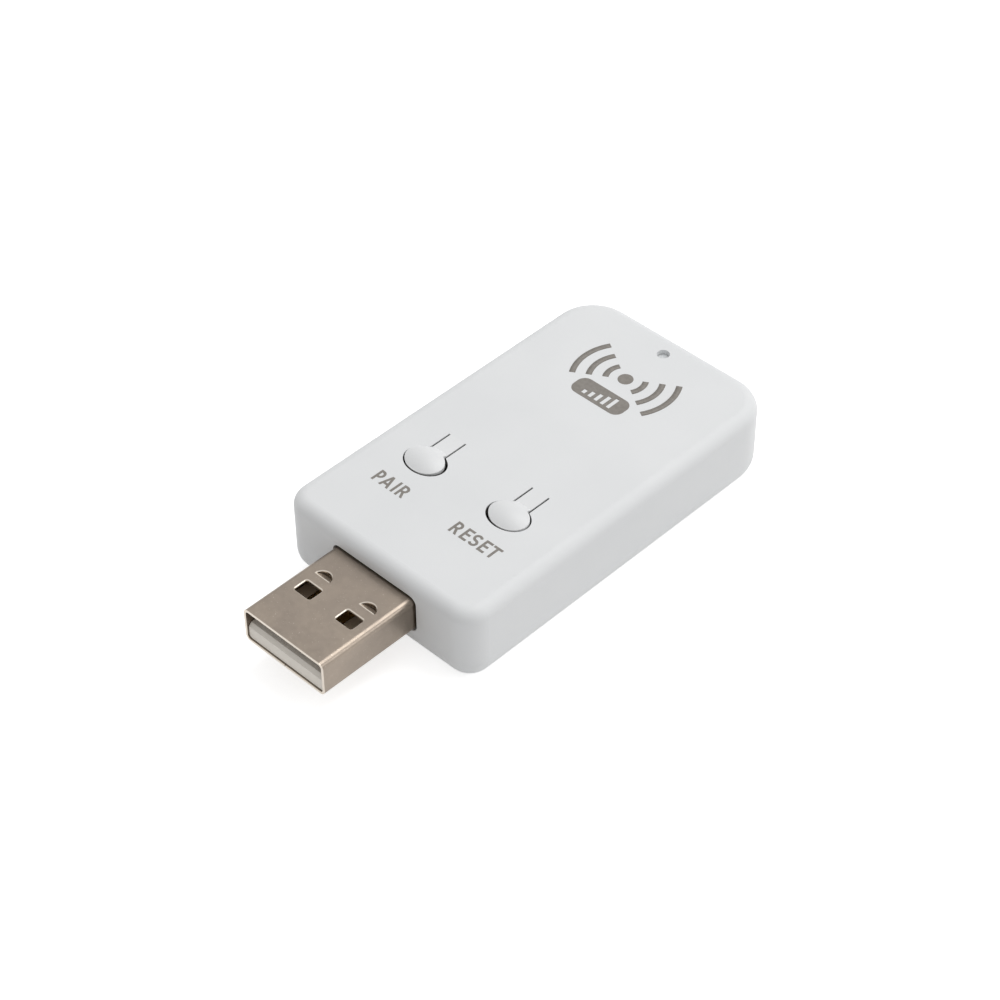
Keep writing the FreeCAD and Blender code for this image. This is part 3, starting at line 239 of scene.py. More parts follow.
def letter(name):
    """The strokes of a capital letter, measured from its left edge and its foot."""
    if name == "P":
        return stem_and_bow(width=0.97, waist=0.76)
    if name == "R":
        return stem_and_bow(width=1.02, waist=0.86) + [slant(0.97, 0.55, 0.86)]
    if name == "A":
        bar = ribbon([(0.30, 0.52), (1.06, 0.52)])
        return [slant(0.15, 0.68, CAP_HEIGHT), slant(1.21, 0.68, CAP_HEIGHT), bar]
    if name == "I":
        return [ribbon([(HALF_PEN, 0), (HALF_PEN, CAP_HEIGHT)])]
    if name == "E":
        around = [(0.98, HEAD), (HALF_PEN, HEAD), (HALF_PEN, HALF_PEN), (0.98, HALF_PEN)]
        return [ribbon(around), ribbon([(HALF_PEN, 0.95), (0.90, 0.95)])]
    if name == "S":
        middle = 0.565
        wide = middle - HALF_PEN
        high = (HEAD - HALF_PEN) / 4
        upper = bow(middle, HEAD - high, wide, high, 25, 270)
        lower = bow(middle, HALF_PEN + high, wide, high, 90, -155)
        return [ribbon(upper + lower[1:])]
    if name == "T":
        return [ribbon([(0, HEAD), (1.23, HEAD)]), ribbon([(0.615, 0), (0.615, HEAD)])]
    raise ValueError(name)


def added(name, mesh, *materials):
    """A new object with its materials, at the origin."""
    for material in materials:
        mesh.materials.append(material)
    thing = bpy.data.objects.new(name, mesh)
    bpy.context.scene.collection.objects.link(thing)
    return thing


def printed(name, outlines, gaps=()):
    """A film of ink on the top face: closed outlines merged into one form, less the gaps."""
    corners = []
    rings = []
    for outline in [*outlines, *gaps]:
        rings.append(list(range(len(corners), len(corners) + len(outline))))
        corners += [Vector(corner) for corner in outline]
    points, _, faces, _, _, sources = geometry.delaunay_2d_cdt(corners, [], rings, 0, CLOSEST)
    inked = [face for face, owners in zip(faces, sources) if owners and max(owners) < len(outlines)]
    sides = dict.fromkeys(side for face in inked for side in zip(face, face[1:] + face[:1]))
    rim = [(start, end) for start, end in sides if (end, start) not in sides]
    over = len(points)
    underside = [face[::-1] for face in inked]
    upper_side = [[corner + over for corner in face] for face in inked]
    walls = [(start, end, end + over, start + over) for start, end in rim]
    places = [(point.x * MM, point.y * MM, z) for z in (0, INK_FILM) for point in points]
    mesh = bpy.data.meshes.new(name)
    mesh.from_pydata(places, [], underside + upper_side + walls)
    mesh.transform(Matrix.Translation((0, FRONT_WALL, TOP_FACE - INK_SUNK)))
    return added(name, mesh, grey_ink)


for name, word, starts in (("pair_word", "PAIR", PAIR_STARTS), ("reset_word", "RESET", RESET_STARTS)):
    strokes = [[(x + start, y + WORD_FOOT) for x, y in stroke]
               for character, start in zip(word, starts) for stroke in letter(character)]
    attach(printed(name, strokes), "housing")


# A wireless sign is printed near the far end: a dot with three arcs on each side.
# It is the same ink, in broad strokes. The arcs are one curve, repeated outwards at a steady gap.

ARC_HALF = radians(32)
SIGN_MIDDLE = (-0.15 * MM, FRONT_WALL + 39.3 * MM, TOP_FACE - INK_SUNK + INK_FILM / 2)


def new_tree(name, **inputs):
    """An empty Geometry Nodes tree with named inputs, each a socket type and its usual value."""
    tree = bpy.data.node_groups.new(name, "GeometryNodeTree")
    for title, (kind, value) in inputs.items():
        socket = tree.interface.new_socket(title, in_out="INPUT", socket_type=kind)
        if value is not None:
            socket.default_value = value
    tree.interface.new_socket("Geometry", in_out="OUTPUT", socket_type="NodeSocketGeometry")
    return tree, tree.nodes.new("NodeGroupInput").outputs


def swept(tree, path, section):
    """A closed solid of that section along a path."""
    return step(tree, "GeometryNodeCurveToMesh", {"Curve": path, "Profile Curve": section,
                                                  "Fill Caps": True}).outputs[0]


def joined(tree, *shapes):
    """Joins the shapes that a tree has made."""
    join = tree.nodes.new("GeometryNodeJoinGeometry")
    for shape in shapes:
        tree.links.new(shape, join.inputs[0])
    return join.outputs[0]


def dressed(tree, shape, material):
    """Realizes what a tree has made, and gives it its material."""
    whole = step(tree, "GeometryNodeRealizeInstances", {"Geometry": shape}).outputs[0]
    return step(tree, "GeometryNodeSetMaterial", {"Geometry": whole, "Material": material}).outputs[0]


def cooked(name, tree, place, **values):
    """Runs a tree with these values, and keeps the plain mesh at that place."""
    thing = added(name, bpy.data.meshes.new(name))
    maker = thing.modifiers.new("maker", "NODES")
    maker.node_group = tree
    for item in tree.interface.items_tree:
        if item.in_out == "INPUT" and item.name in values:
            maker[item.identifier] = values[item.name]
    bpy.context.view_layer.update()
    evaluated = thing.evaluated_get(bpy.context.evaluated_depsgraph_get())
    mesh = bpy.data.meshes.new_from_object(evaluated)
    thing.modifiers.remove(maker)
    mesh.transform(Matrix.Translation(place))
    mesh.name = name
    thing.data = mesh
    return thing


sign_tree, given = new_tree("wireless_sign",
                            Dot=("NodeSocketFloat", 0.9 * MM),
                            First=("NodeSocketFloat", 2.3 * MM),
                            Gap=("NodeSocketFloat", 1.9 * MM),
                            Stroke=("NodeSocketFloat", 0.72 * MM),
                            Arcs=("NodeSocketInt", 3),
                            Film=("NodeSocketFloat", INK_FILM),
                            Ink=("NodeSocketMaterial", None))
one_arc = step(sign_tree, "GeometryNodeCurveArc", {"Resolution": 24, "Radius": 1.0,
                                                   "Start Angle": -ARC_HALF, "Sweep Angle": 2 * ARC_HALF})
middles = step(sign_tree, "GeometryNodeMeshLine", {"Count": given["Arcs"], "Offset": (0, 0, 0)})
number = step(sign_tree, "GeometryNodeInputIndex", {})
radius = reckoned(sign_tree, "MULTIPLY_ADD", number.outputs[0], given["Gap"], given["First"])
arcs = step(sign_tree, "GeometryNodeInstanceOnPoints", {"Points": middles.outputs[0],
                                                        "Instance": one_arc.outputs[0], "Scale": radius})
right_arcs = step(sign_tree, "GeometryNodeRealizeInstances", {"Geometry": arcs.outputs[0]}).outputs[0]
left_arcs = step(sign_tree, "GeometryNodeTransform", {"Geometry": right_arcs, "Rotation": (0, 0, pi)})
nib = step(sign_tree, "GeometryNodeCurvePrimitiveQuadrilateral", {"Width": given["Stroke"],
                                                                  "Height": given["Film"]})
broad_arcs = swept(sign_tree, joined(sign_tree, right_arcs, left_arcs.outputs[0]), nib.outputs[0])
half_film = reckoned(sign_tree, "MULTIPLY", given["Film"], 0.5)
dot_head = step(sign_tree, "ShaderNodeCombineXYZ", {"Z": half_film}).outputs[0]
dot_foot = step(sign_tree, "ShaderNodeVectorMath", {0: dot_head, "Scale": -1.0}, operation="SCALE")
axle = step(sign_tree, "GeometryNodeCurvePrimitiveLine", {"Start": dot_foot.outputs[0], "End": dot_head})
rim = step(sign_tree, "GeometryNodeCurvePrimitiveCircle", {"Resolution": 40, "Radius": given["Dot"]})
dot = swept(sign_tree, axle.outputs[0], rim.outputs[0])
sign = dressed(sign_tree, joined(sign_tree, broad_arcs, dot), given["Ink"])
step(sign_tree, "NodeGroupOutput", {"Geometry": sign})
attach(cooked("wireless_sign", sign_tree, SIGN_MIDDLE, Ink=grey_ink), "housing")


# A pill-shaped badge is printed below the sign, in the same pass and the same ink.
# Five rising signal bars are left clear in it, so the white of the cover shows through them.

PILL_LEFT = -3.92
PILL_RIGHT = 3.47
PILL_FOOT = 33.78
PILL_HEAD = 36.62
PILL_ROUND = 1.1
BAR_COUNT = 5
BAR_WIDTH = 0.46
BAR_PITCH = 0.92
BAR_FOOT = PILL_FOOT + 0.52
FIRST_BAR = 0.6
BAR_RISE = 0.3
west = PILL_LEFT + PILL_ROUND
east = PILL_RIGHT - PILL_ROUND
south = PILL_FOOT + PILL_ROUND
north = PILL_HEAD - PILL_ROUND
pill = []
for x, y, start in ((east, south, -90), (east, north, 0), (west, north, 90), (west, south, 180)):
    pill += bow(x, y, PILL_ROUND, PILL_ROUND, start, start + 90, steps=8)
bars = []
for count in range(BAR_COUNT):
    left = (PILL_LEFT + PILL_RIGHT - BAR_WIDTH) / 2 + (count - (BAR_COUNT - 1) / 2) * BAR_PITCH
    right = left + BAR_WIDTH
    head = BAR_FOOT + FIRST_BAR + BAR_RISE * count
    bars.append([(left, BAR_FOOT), (right, BAR_FOOT), (right, head), (left, head)])
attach(printed("signal_badge", [pill], bars), "housing")


# The plug's shell is one strip of steel, folded round the tongue and closed by a seam below.
# Its nickel plating is satin and a little warm, with small bright specks where it has been scuffed.
# The press sheared the mouth. The rims of the windows and lances, the lances' folds and the sheared mouth
# edge are painted brighter, as painted highlights.

PLUG_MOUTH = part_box("plug_shell")[0].y
WINDOW_MIDDLE = (3.11 * MM, 6.46 * MM)
WINDOW_CORE = (0.95 * MM, 0.69 * MM)
WINDOW_RIM = (0.20 * MM, 0.36 * MM)
LANCE_MIDDLE = (3.35 * MM, 8.65 * MM)
LANCE_RIM = (0.95 * MM, 1.13 * MM)
LANCE_FOLD = (-0.04 * MM, 0.14 * MM)
FOLD_REACH = 1.05 * MM
LANCE_BLUR = 0.1 * MM
SHEARED_EDGE = (PLUG_MOUTH + 0.01 * MM, PLUG_MOUTH + 0.06 * MM)
RIM_HIGHLIGHT = (0.62, 0.56, 0.49)
SPECK_SIZE = 0.15
SPECK_PEAKS = (0.71, 0.77)
SPECK_SHINE = 0.40
SPECK_COLOUR = (0.62, 0.56, 0.50)


def off_middle(tree, middle):
    """How far each point lies across and along from a place, given from the plug's middle and mouth."""
    across = reckoned(tree, "SUBTRACT", reckoned(tree, "ABSOLUTE", coordinate(tree, "X")), middle[0])
    along = reckoned(tree, "SUBTRACT", coordinate(tree, "Y"), PLUG_MOUTH + middle[1])
    return across, along


def beyond(tree, value, half):
    """How far a point lies outside a width, and 0 inside it."""
    past = reckoned(tree, "SUBTRACT", reckoned(tree, "ABSOLUTE", value), half)
    return reckoned(tree, "MAXIMUM", past, 0)


def distance(tree, across, along):
    """The straight distance of a point that lies so far across and so far along."""
    across_squared = reckoned(tree, "POWER", across, 2)
    along_squared = reckoned(tree, "POWER", along, 2)
    return reckoned(tree, "SQRT", reckoned(tree, "ADD", across_squared, along_squared))


plated_steel = painted("plated_steel", dark=(0.266, 0.225, 0.188), light=(0.298, 0.251, 0.207),
                       patch=3.5, matt=(0.28, 0.37), fine=0.09, height=0.004, metal=1.0)
tree = plated_steel.node_tree
specks = spread(tree, grain(tree, SPECK_SIZE, detail=1), 0, SPECK_SHINE, at=SPECK_PEAKS)
laid_over(plated_steel, specks, SPECK_COLOUR)
across, along = off_middle(tree, WINDOW_MIDDLE)
from_window = distance(tree, beyond(tree, across, WINDOW_CORE[0]), beyond(tree, along, WINDOW_CORE[1]))
window_rim = between(tree, from_window, *WINDOW_RIM)
across, along = off_middle(tree, LANCE_MIDDLE)
from_lance = distance(tree, across, along)
far_half = spread(tree, along, 0, 1, at=(-LANCE_BLUR, LANCE_BLUR))
lance_rim = reckoned(tree, "MULTIPLY", between(tree, from_lance, *LANCE_RIM), far_half)
near_lance = between(tree, from_lance, 0, FOLD_REACH)
fold = reckoned(tree, "MULTIPLY", between(tree, along, *LANCE_FOLD), near_lance)
sheared = spread(tree, coordinate(tree, "Y"), 1, 0, at=SHEARED_EDGE)
# Painted highlight: a brighter colour along the window and lance rims, the lance folds and the mouth's
# sheared edge.
rim_highlights = reckoned(tree, "MAXIMUM", reckoned(tree, "MAXIMUM", window_rim, lance_rim),
                reckoned(tree, "MAXIMUM", fold, sheared))
laid_over(plated_steel, rim_highlights, RIM_HIGHLIGHT)
clothe(plated_steel, "plug_shell")


# The tongue and its block are one moulding in pale, glass-filled plastic, held by the shell's lances.
# The plastic is matt. It is cream at the mouth, and is painted browner further in, as painted shade deep
# inside the shell.

BLOCK_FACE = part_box("plug_insulator")[0].y
CREAM_UNTIL = BLOCK_FACE + 2 * MM
BROWN_FROM = BLOCK_FACE + 5 * MM
DEEP_SHADE = (0.46, 0.36, 0.26)
moulded_block = painted("moulded_block", dark=(0.89, 0.84, 0.76), light=(0.93, 0.88, 0.80),
                        patch=3, matt=(0.50, 0.64), fine=0.16, height=0.012)
tree = moulded_block.node_tree
# Painted shade: the block turns brown between CREAM_UNTIL and BROWN_FROM, deeper inside the plug.
laid_over(moulded_block, spread(tree, coordinate(tree, "Y"), 0, 1, at=(CREAM_UNTIL, BROWN_FROM)), DEEP_SHADE)
clothe(moulded_block, "plug_insulator")


# The four strips are stamped in brass and plated with gold, and pressed into grooves in the tongue.
# Each plugging in rubs fine bright lines along them.

gold_plate = painted("gold_plate", dark=(0.76, 0.53, 0.21), light=(0.86, 0.64, 0.30), patch=1.4,
                     matt=(0.20, 0.36), fine=0.08, height=0.004, metal=1.0, stretch=(1, 0.08, 1))
clothe(gold_plate, "contact_power", "contact_data_minus", "contact_data_plus", "contact_ground")


# The circuit board is glass and epoxy under a green solder mask, and rests on the tray's posts.
# The mask is a lighter green over the copper tracks, and the cut edges show the pale laminate.

TRACK_GREEN = (0.018, 0.165, 0.070)
TRACKS_FROM = (0.49, 0.50)
LAMINATE = (0.42, 0.40, 0.20)
CUT_TO_LEVEL = (0.4, 0.6)
solder_mask = painted("solder_mask", dark=(0.006, 0.074, 0.033), light=(0.009, 0.094, 0.042),
                      patch=6, matt=(0.22, 0.34), fine=0.20, height=0.006)
tree = solder_mask.node_tree
tracks = step(tree, "ShaderNodeTexBrick", {"Vector": own_place(tree), "Scale": 1 / (4 * MM),
                                           "Mortar Size": 0.032, "Mortar Smooth": 0.2, "Brick Width": 2.6,
                                           "Row Height": 0.17}, offset=0.37, offset_frequency=3)
routed = spread(tree, grain(tree, size=5, detail=1, stretch=(1, 0.6, 1)), 0, 1, at=TRACKS_FROM)
laid_over(solder_mask, reckoned(tree, "MULTIPLY", tracks.outputs["Fac"], routed), TRACK_GREEN)
surface = step(tree, "ShaderNodeNewGeometry", {})
facing = step(tree, "ShaderNodeSeparateXYZ", {0: surface.outputs["Normal"]})
upright = reckoned(tree, "ABSOLUTE", facing.outputs["Z"])
laid_over(solder_mask, spread(tree, upright, 1, 0, at=CUT_TO_LEVEL), LAMINATE)
clothe(solder_mask, "circuit_board")


# Plated holes stitch the board's two copper layers together, beside the can and before the antenna.
# Each is drilled, plated with copper and tinned, and stands as a thin bright ring on the mask.

HOLE_PITCH = 1.27 * MM
BESIDE_CAN = 0.75 * MM
FROM_CORNER = 1.2 * MM
BEFORE_ANTENNA = 1.6 * MM
BOARD_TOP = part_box("circuit_board")[1].z
tinned = painted("tinned", dark=(0.52, 0.52, 0.50), light=(0.64, 0.63, 0.61),
                 patch=0.6, matt=(0.26, 0.42), fine=0.06, height=0.005, metal=1.0)
holes_tree, given = new_tree("plated_holes",
                             Count=("NodeSocketInt", 8),
                             Step=("NodeSocketVector", (0, HOLE_PITCH, 0)),
                             Radius=("NodeSocketFloat", 0.22 * MM),
                             Rim=("NodeSocketFloat", 0.07 * MM),
                             Metal=("NodeSocketMaterial", None))
places = step(holes_tree, "GeometryNodeMeshLine", {"Count": given["Count"], "Offset": given["Step"]})
hole = step(holes_tree, "GeometryNodeCurvePrimitiveCircle", {"Resolution": 20, "Radius": given["Radius"]})
lip = step(holes_tree, "GeometryNodeCurvePrimitiveCircle", {"Resolution": 8, "Radius": given["Rim"]})
ring = swept(holes_tree, hole.outputs[0], lip.outputs[0])
rings = step(holes_tree, "GeometryNodeInstanceOnPoints", {"Points": places.outputs[0], "Instance": ring})
step(holes_tree, "NodeGroupOutput", {"Geometry": dressed(holes_tree, rings.outputs[0], given["Metal"])})
can_low, can_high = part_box("shield_can")
antenna_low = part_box("antenna")[0]
for name, x, y, count, stride in (
        ("holes_left_of_can", can_low.x - BESIDE_CAN, can_low.y + FROM_CORNER, 8, (0, HOLE_PITCH, 0)),
        ("holes_right_of_can", can_high.x + BESIDE_CAN, can_low.y + FROM_CORNER, 8, (0, HOLE_PITCH, 0)),
        ("holes_before_antenna", antenna_low.x, antenna_low.y - BEFORE_ANTENNA, 10, (HOLE_PITCH, 0, 0))):
    holes = cooked(name, holes_tree, (x, y, BOARD_TOP), Count=count, Step=stride, Metal=tinned)
    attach(holes, "housing")


# Under each paddle stands a tact switch: a black nylon base, a snap disc, a plunger and a steel cover.
# The cover's legs are soldered to the board, and its hooks hold the base.

black_nylon = painted("black_nylon", dark=(0.018, 0.018, 0.019), light=(0.030, 0.030, 0.031),
                      patch=1.2, matt=(0.45, 0.62), fine=0.10, height=0.010)
clothe(black_nylon, "pair_switch_base", "reset_switch_base")
stainless = painted("stainless", dark=(0.50, 0.49, 0.47), light=(0.60, 0.59, 0.57), patch=1.5,
                    matt=(0.22, 0.36), fine=0.09, height=0.005, metal=1.0, stretch=(0.15, 1, 1))
clothe(stainless, "pair_switch_cover", "reset_switch_cover", "pair_switch_dome", "reset_switch_dome")
brown_stem = painted("brown_stem", dark=(0.085, 0.050, 0.030), light=(0.115, 0.070, 0.044),
                     patch=1.0, matt=(0.36, 0.50), fine=0.12, height=0.008)
clothe(brown_stem, "pair_switch_plunger", "reset_switch_plunger")


# The status light is a small white package with yellow phosphor, and shines up into the light guide.
# The guide is clear plastic with a milky tip, pressed into the collar below its hole.

PHOSPHOR = (0.86, 0.66, 0.16)
PHOSPHOR_RIM = (0.26 * MM, 0.32 * MM)
led_white = painted("led_white", dark=(0.74, 0.74, 0.72), light=(0.80, 0.80, 0.78),
                    patch=0.6, matt=(0.36, 0.50), fine=0.06, height=0.006)
tree = led_white.node_tree
led_low, led_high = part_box("status_led")
lit_spot = ((led_low.x + led_high.x) / 2, (led_low.y + led_high.y) / 2, led_high.z)
from_spot = step(tree, "ShaderNodeVectorMath", {0: own_place(tree), 1: lit_spot}, operation="DISTANCE")
laid_over(led_white, spread(tree, from_spot.outputs["Value"], 1, 0, at=PHOSPHOR_RIM), PHOSPHOR)
clothe(led_white, "status_led")
milky_guide = painted("milky_guide", dark=(0.70, 0.715, 0.725), light=(0.76, 0.775, 0.785),
                      patch=0.8, matt=(0.20, 0.32), fine=0.09, height=0.004)
milk = shader_of(milky_guide).inputs
milk["Subsurface Weight"].default_value = 0.25
milk["Subsurface Radius"].default_value = (0.6 * MM, 0.6 * MM, 0.7 * MM)
milk["Subsurface Scale"].default_value = 1.0
clothe(milky_guide, "light_guide")


# The radio is a black chip with its crystal, under a soldered can of tinned steel with a vent hole.
# The memory chip beside it and the regulator are moulded in the same epoxy, and the crystal's lid sits
# on a ceramic base. The antenna is bare copper at the far end.

CRYSTAL_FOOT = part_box("crystal")[0].z
CERAMIC_TOP = CRYSTAL_FOOT + 0.28 * MM
LID_FOOT = CRYSTAL_FOOT + 0.32 * MM
CERAMIC = (0.10, 0.085, 0.075)
tinned_can = painted("tinned_can", dark=(0.53, 0.53, 0.51), light=(0.59, 0.59, 0.57), patch=4.0,
                     matt=(0.24, 0.40), fine=0.12, height=0.006, metal=1.0, stretch=(1, 0.2, 1))
clothe(tinned_can, "shield_can")
black_epoxy = painted("black_epoxy", dark=(0.016, 0.016, 0.017), light=(0.034, 0.034, 0.035),
                      patch=0.15, matt=(0.42, 0.58), fine=0.05, height=0.010)
clothe(black_epoxy, "radio_chip", "flash_chip", "voltage_regulator")
crystal_case = painted("crystal_case", dark=(0.58, 0.55, 0.50), light=(0.68, 0.65, 0.60),
                       patch=0.9, matt=(0.20, 0.32), fine=0.07, height=0.004, metal=1.0)
tree = crystal_case.node_tree
ceramic = spread(tree, coordinate(tree, "Z"), 1, 0, at=(CERAMIC_TOP, LID_FOOT))
laid_over(crystal_case, ceramic, CERAMIC)
tree.links.new(spread(tree, ceramic, 1, 0, at=(0, 1)), shader_of(crystal_case).inputs["Metallic"])
clothe(crystal_case, "crystal")
antenna_copper = painted("antenna_copper", dark=(0.62, 0.30, 0.17), light=(0.80, 0.44, 0.28),
                         patch=1.6, matt=(0.24, 0.42), fine=0.10, height=0.004, metal=1.0)
clothe(antenna_copper, "antenna")


# The supply stands behind the plug's strips: a fuse, a diode against surges and a ferrite inductor.
# All three are soldered flat to the board, and the fuse and the diode have tinned ends.

TIN = (0.62, 0.61, 0.59)
TIN_BLUR = 0.02
ferrite = painted("ferrite", dark=(0.045, 0.043, 0.042), light=(0.080, 0.077, 0.074),
                  patch=0.5, matt=(0.50, 0.70), fine=0.08, height=0.014)
clothe(ferrite, "inductor")


def tin_ended(name, node, dark, light, end):
    """A small two-ended part along X, whose ends are tinned over that many millimetres."""
    material = painted(name, dark, light, patch=0.5, matt=(0.28, 0.44), fine=0.07, height=0.006)
    tree = material.node_tree
    low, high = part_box(node)
    middle = (low.x + high.x) / 2
    half = (high.x - low.x) / 2
    away = reckoned(tree, "ABSOLUTE", reckoned(tree, "SUBTRACT", coordinate(tree, "X"), middle))
    tinned_end = spread(tree, away, 0, 1, at=(half - (end + TIN_BLUR) * MM, half - (end - TIN_BLUR) * MM))
    laid_over(material, tinned_end, TIN)
    tree.links.new(tinned_end, shader_of(material).inputs["Metallic"])
    clothe(material, node)


tin_ended("fuse_green", "fuse", dark=(0.030, 0.150, 0.060), light=(0.045, 0.190, 0.080), end=0.45)
tin_ended("diode_black", "surge_diode", dark=(0.018, 0.018, 0.019), light=(0.034, 0.034, 0.035), end=0.30)


# The small capacitors and resistors stand in rows, six tan ones across and four black ones along.
# Each is a fired ceramic block with a tinned cap wrapped round both ends, soldered to the board.

CHIP_WIDTH = 0.5 * MM
CHIP_CORNER = 0.05 * MM
CAP_PROUD = 0.02 * MM
fired_tan = painted("fired_tan", dark=(0.42, 0.29, 0.17), light=(0.52, 0.37, 0.23),
                    patch=0.25, matt=(0.40, 0.56), fine=0.05, height=0.006)
fired_black = painted("fired_black", dark=(0.020, 0.020, 0.022), light=(0.036, 0.036, 0.038),
                      patch=0.25, matt=(0.30, 0.44), fine=0.05, height=0.004)
rows_tree, given = new_tree("row_of_chips",
                            Count=("NodeSocketInt", 4),
                            Step=("NodeSocketVector", (MM, 0, 0)),
                            Turn=("NodeSocketVector", (0, 0, 0)),
                            Length=("NodeSocketFloat", MM),
                            Width=("NodeSocketFloat", CHIP_WIDTH),
                            Height=("NodeSocketFloat", 0.4 * MM),
                            Cap=("NodeSocketFloat", 0.24 * MM),
                            Block=("NodeSocketMaterial", None),
                            Ends=("NodeSocketMaterial", None))


def along_chip(part, further=0.0):
    """The place on the chip's axis at that part of its length from its middle, and a little further."""
    x = reckoned(rows_tree, "MULTIPLY_ADD", given["Length"], part, further)
    return step(rows_tree, "ShaderNodeCombineXYZ", {"X": x}).outputs[0]


def prism(start, end, wide, high):
    """A bar of rounded section from one place to the other."""
    run = step(rows_tree, "GeometryNodeCurvePrimitiveLine", {"Start": start, "End": end})
    box = step(rows_tree, "GeometryNodeCurvePrimitiveQuadrilateral", {"Width": wide, "Height": high})
    eased = step(rows_tree, "GeometryNodeFilletCurve", {"Curve": box.outputs[0], "Radius": CHIP_CORNER,
                                                        "Count": 3}, mode="POLY")
    return swept(rows_tree, run.outputs[0], eased.outputs[0])


def in_a_row(shape, material):
    """A row of one shape, in its material."""
    places = step(rows_tree, "GeometryNodeMeshLine", {"Count": given["Count"], "Offset": given["Step"]})
    row = step(rows_tree, "GeometryNodeInstanceOnPoints", {"Points": places.outputs[0], "Instance": shape,
                                                           "Rotation": given["Turn"]})
    return dressed(rows_tree, row.outputs[0], material)


block_width = reckoned(rows_tree, "SUBTRACT", given["Width"], 2 * CAP_PROUD)
block_height = reckoned(rows_tree, "SUBTRACT", given["Height"], 2 * CAP_PROUD)
block = prism(along_chip(-0.5, CAP_PROUD), along_chip(0.5, -CAP_PROUD), block_width, block_height)
left_cap = prism(along_chip(-0.5), along_chip(-0.5, given["Cap"]), given["Width"], given["Height"])
right_cap = step(rows_tree, "GeometryNodeTransform", {"Geometry": left_cap, "Rotation": (0, 0, pi)})
caps = joined(rows_tree, left_cap, right_cap.outputs[0])
chips = joined(rows_tree, in_a_row(block, given["Block"]), in_a_row(caps, given["Ends"]))
step(rows_tree, "NodeGroupOutput", {"Geometry": chips})


def row_of_chips(node, count, axis, block):
    """Stands a row of chips where the CAD node has its own, one box for each."""
    low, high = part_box(node)
    size = high - low
    across = 1 - axis
    first = Vector((low.x, low.y, (low.z + high.z) / 2))
    first[axis] += CHIP_WIDTH / 2
    first[across] += size[across] / 2
    stride = [0, 0, 0]
    stride[axis] = (size[axis] - CHIP_WIDTH) / (count - 1)
    turn = (0, 0, pi / 2) if axis == 0 else (0, 0, 0)
    row = cooked(node + "_row", rows_tree, first, Count=count, Step=tuple(stride), Turn=turn,
                 Length=size[across], Width=CHIP_WIDTH, Height=size.z, Block=block, Ends=tinned)
    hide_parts(node)
    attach(row, "housing")


row_of_chips("capacitors", count=6, axis=0, block=fired_tan)
row_of_chips("resistors", count=4, axis=1, block=fired_black)


# The object lies on a plain pale floor that runs on past the picture, and the floor keeps a soft shadow.
# To the camera, and in the plug's steel, the floor and the surround look white.

FLOOR_REACH = 3.0
FLOOR_GREY = 0.82
FLOOR_GLOW = 0.66


def seen(tree):
    """1 for what the camera, a gloss or a clear piece shows, and 0 for the light itself."""
    path = step(tree, "ShaderNodeLightPath", {}).outputs
    either = reckoned(tree, "MAXIMUM", path["Is Camera Ray"], path["Is Glossy Ray"])
    return reckoned(tree, "MAXIMUM", either, path["Is Transmission Ray"])


floor_paint = bpy.data.materials.new("floor_paint")
floor_paint.use_nodes = True
tree = floor_paint.node_tree
tree.nodes.clear()
flat = step(tree, "ShaderNodeBsdfDiffuse", {"Color": (FLOOR_GREY, FLOOR_GREY, FLOOR_GREY, 1)})
glow = step(tree, "ShaderNodeEmission", {"Strength": reckoned(tree, "MULTIPLY", seen(tree), FLOOR_GLOW)})
both = step(tree, "ShaderNodeAddShader", {0: flat.outputs[0], 1: glow.outputs[0]})
step(tree, "ShaderNodeOutputMaterial", {"Surface": both.outputs[0]})
floor_mesh = bpy.data.meshes.new("floor")
floor_corners = [(x * FLOOR_REACH, y * FLOOR_REACH, 0) for x, y in ((-1, -1), (1, -1), (1, 1), (-1, 1))]
floor_mesh.from_pydata(floor_corners, [], [(0, 1, 2, 3)])
added("floor", floor_mesh, floor_paint)


# Light comes from a white surround on all sides, which is shown brighter than it lights.
# Two large soft boxes add to it, one over the far end and one to the right.

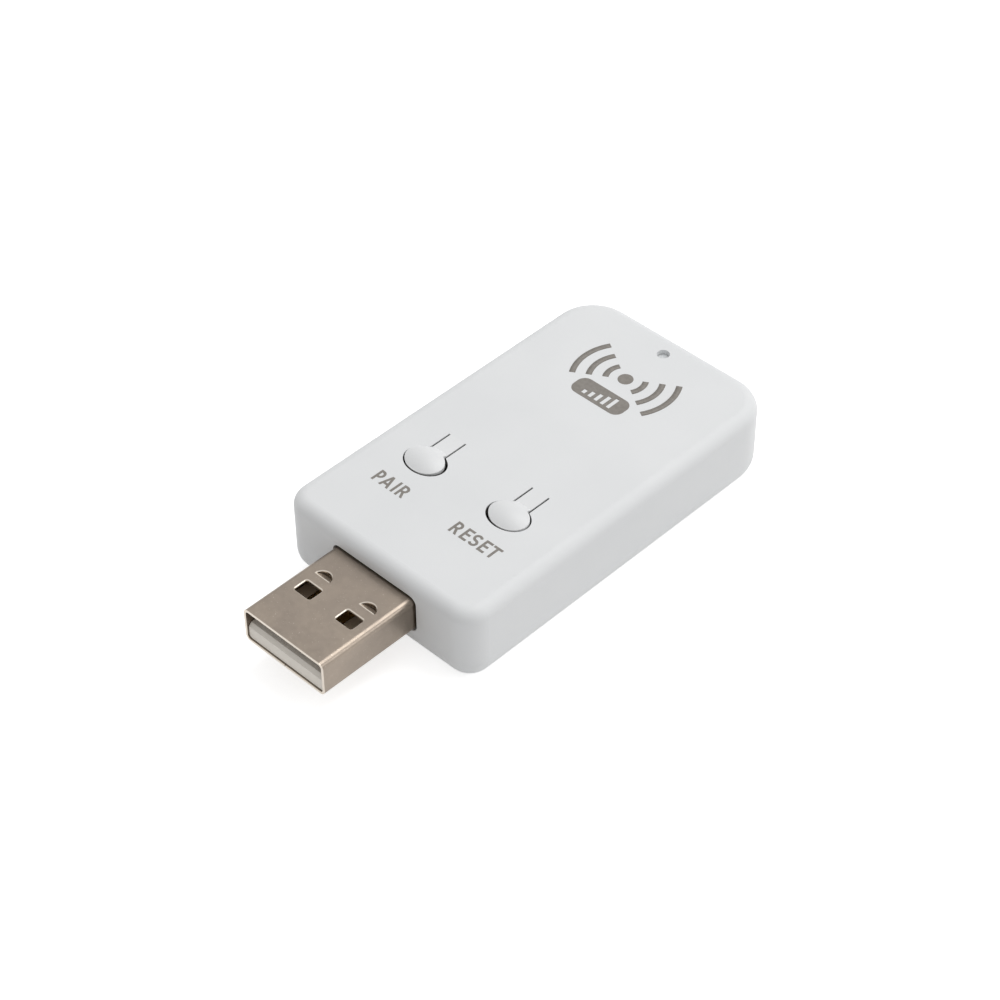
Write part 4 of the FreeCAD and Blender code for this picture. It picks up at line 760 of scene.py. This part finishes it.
SURROUND_LIGHT = 0.50
SURROUND_SHOWN = 1.0
world = bpy.data.worlds.new("studio")
bpy.context.scene.world = world
world.use_nodes = True
tree = world.node_tree
tree.nodes.clear()
strength = spread(tree, seen(tree), SURROUND_LIGHT, SURROUND_SHOWN, at=(0, 1))
surround = step(tree, "ShaderNodeBackground", {"Color": (1, 1, 1, 1), "Strength": strength})
step(tree, "ShaderNodeOutputWorld", {"Surface": surround.outputs[0]})


def soft_box(name, place, width, length, power):
    """A lamp with a wide soft face, turned towards the object."""
    lamp = bpy.data.lights.new(name, "AREA")
    lamp.shape = "RECTANGLE"
    lamp.size = width
    lamp.size_y = length
    lamp.energy = power
    thing = bpy.data.objects.new(name, lamp)
    bpy.context.scene.collection.objects.link(thing)
    thing.location = place
    thing.rotation_euler = (-Vector(place)).to_track_quat("-Z", "Y").to_euler()


soft_box("box_above", (0.02, 0.26, 0.57), width=0.45, length=0.45, power=1.70)
soft_box("box_right", (0.45, 0.35, 0.33), width=0.35, length=0.25, power=0.55)


# The camera looks down on the plug's end from about 0.3 m away, through a long lens, a little rolled.
# Its angles and its lens are those of the photograph, for a picture 1000 pixels wide.

AZIMUTH = radians(44.499)
ELEVATION = radians(43.016)
ROLL = radians(-0.524)
DISTANCE = 284.182 * MM
ACROSS = -0.747 * MM
UPWARD = -0.196 * MM
LOOKED_AT = Vector((0, FRONT_WALL + 20 * MM, 5 * MM))
FOCAL_PIXELS = 2599.71
PICTURE_PIXELS = 1000
SENSOR = 36
back = Vector((sin(AZIMUTH) * cos(ELEVATION), -cos(AZIMUTH) * cos(ELEVATION), sin(ELEVATION)))
sideways = Vector((cos(AZIMUTH), sin(AZIMUTH), 0))
upwards = back.cross(sideways)
right = sideways * cos(ROLL) + upwards * sin(ROLL)
up = upwards * cos(ROLL) - sideways * sin(ROLL)
stand = LOOKED_AT + right * ACROSS + up * UPWARD + back * DISTANCE
lens = bpy.data.cameras.new("camera")
lens.sensor_width = SENSOR
lens.lens = FOCAL_PIXELS * SENSOR / PICTURE_PIXELS
lens.clip_start = 0.01
camera = bpy.data.objects.new("camera", lens)
bpy.context.scene.collection.objects.link(camera)
camera.matrix_world = Matrix.Translation(stand) @ Matrix((right, up, back)).transposed().to_4x4()
bpy.context.scene.camera = camera
bpy.context.scene.view_settings.view_transform = "Standard"
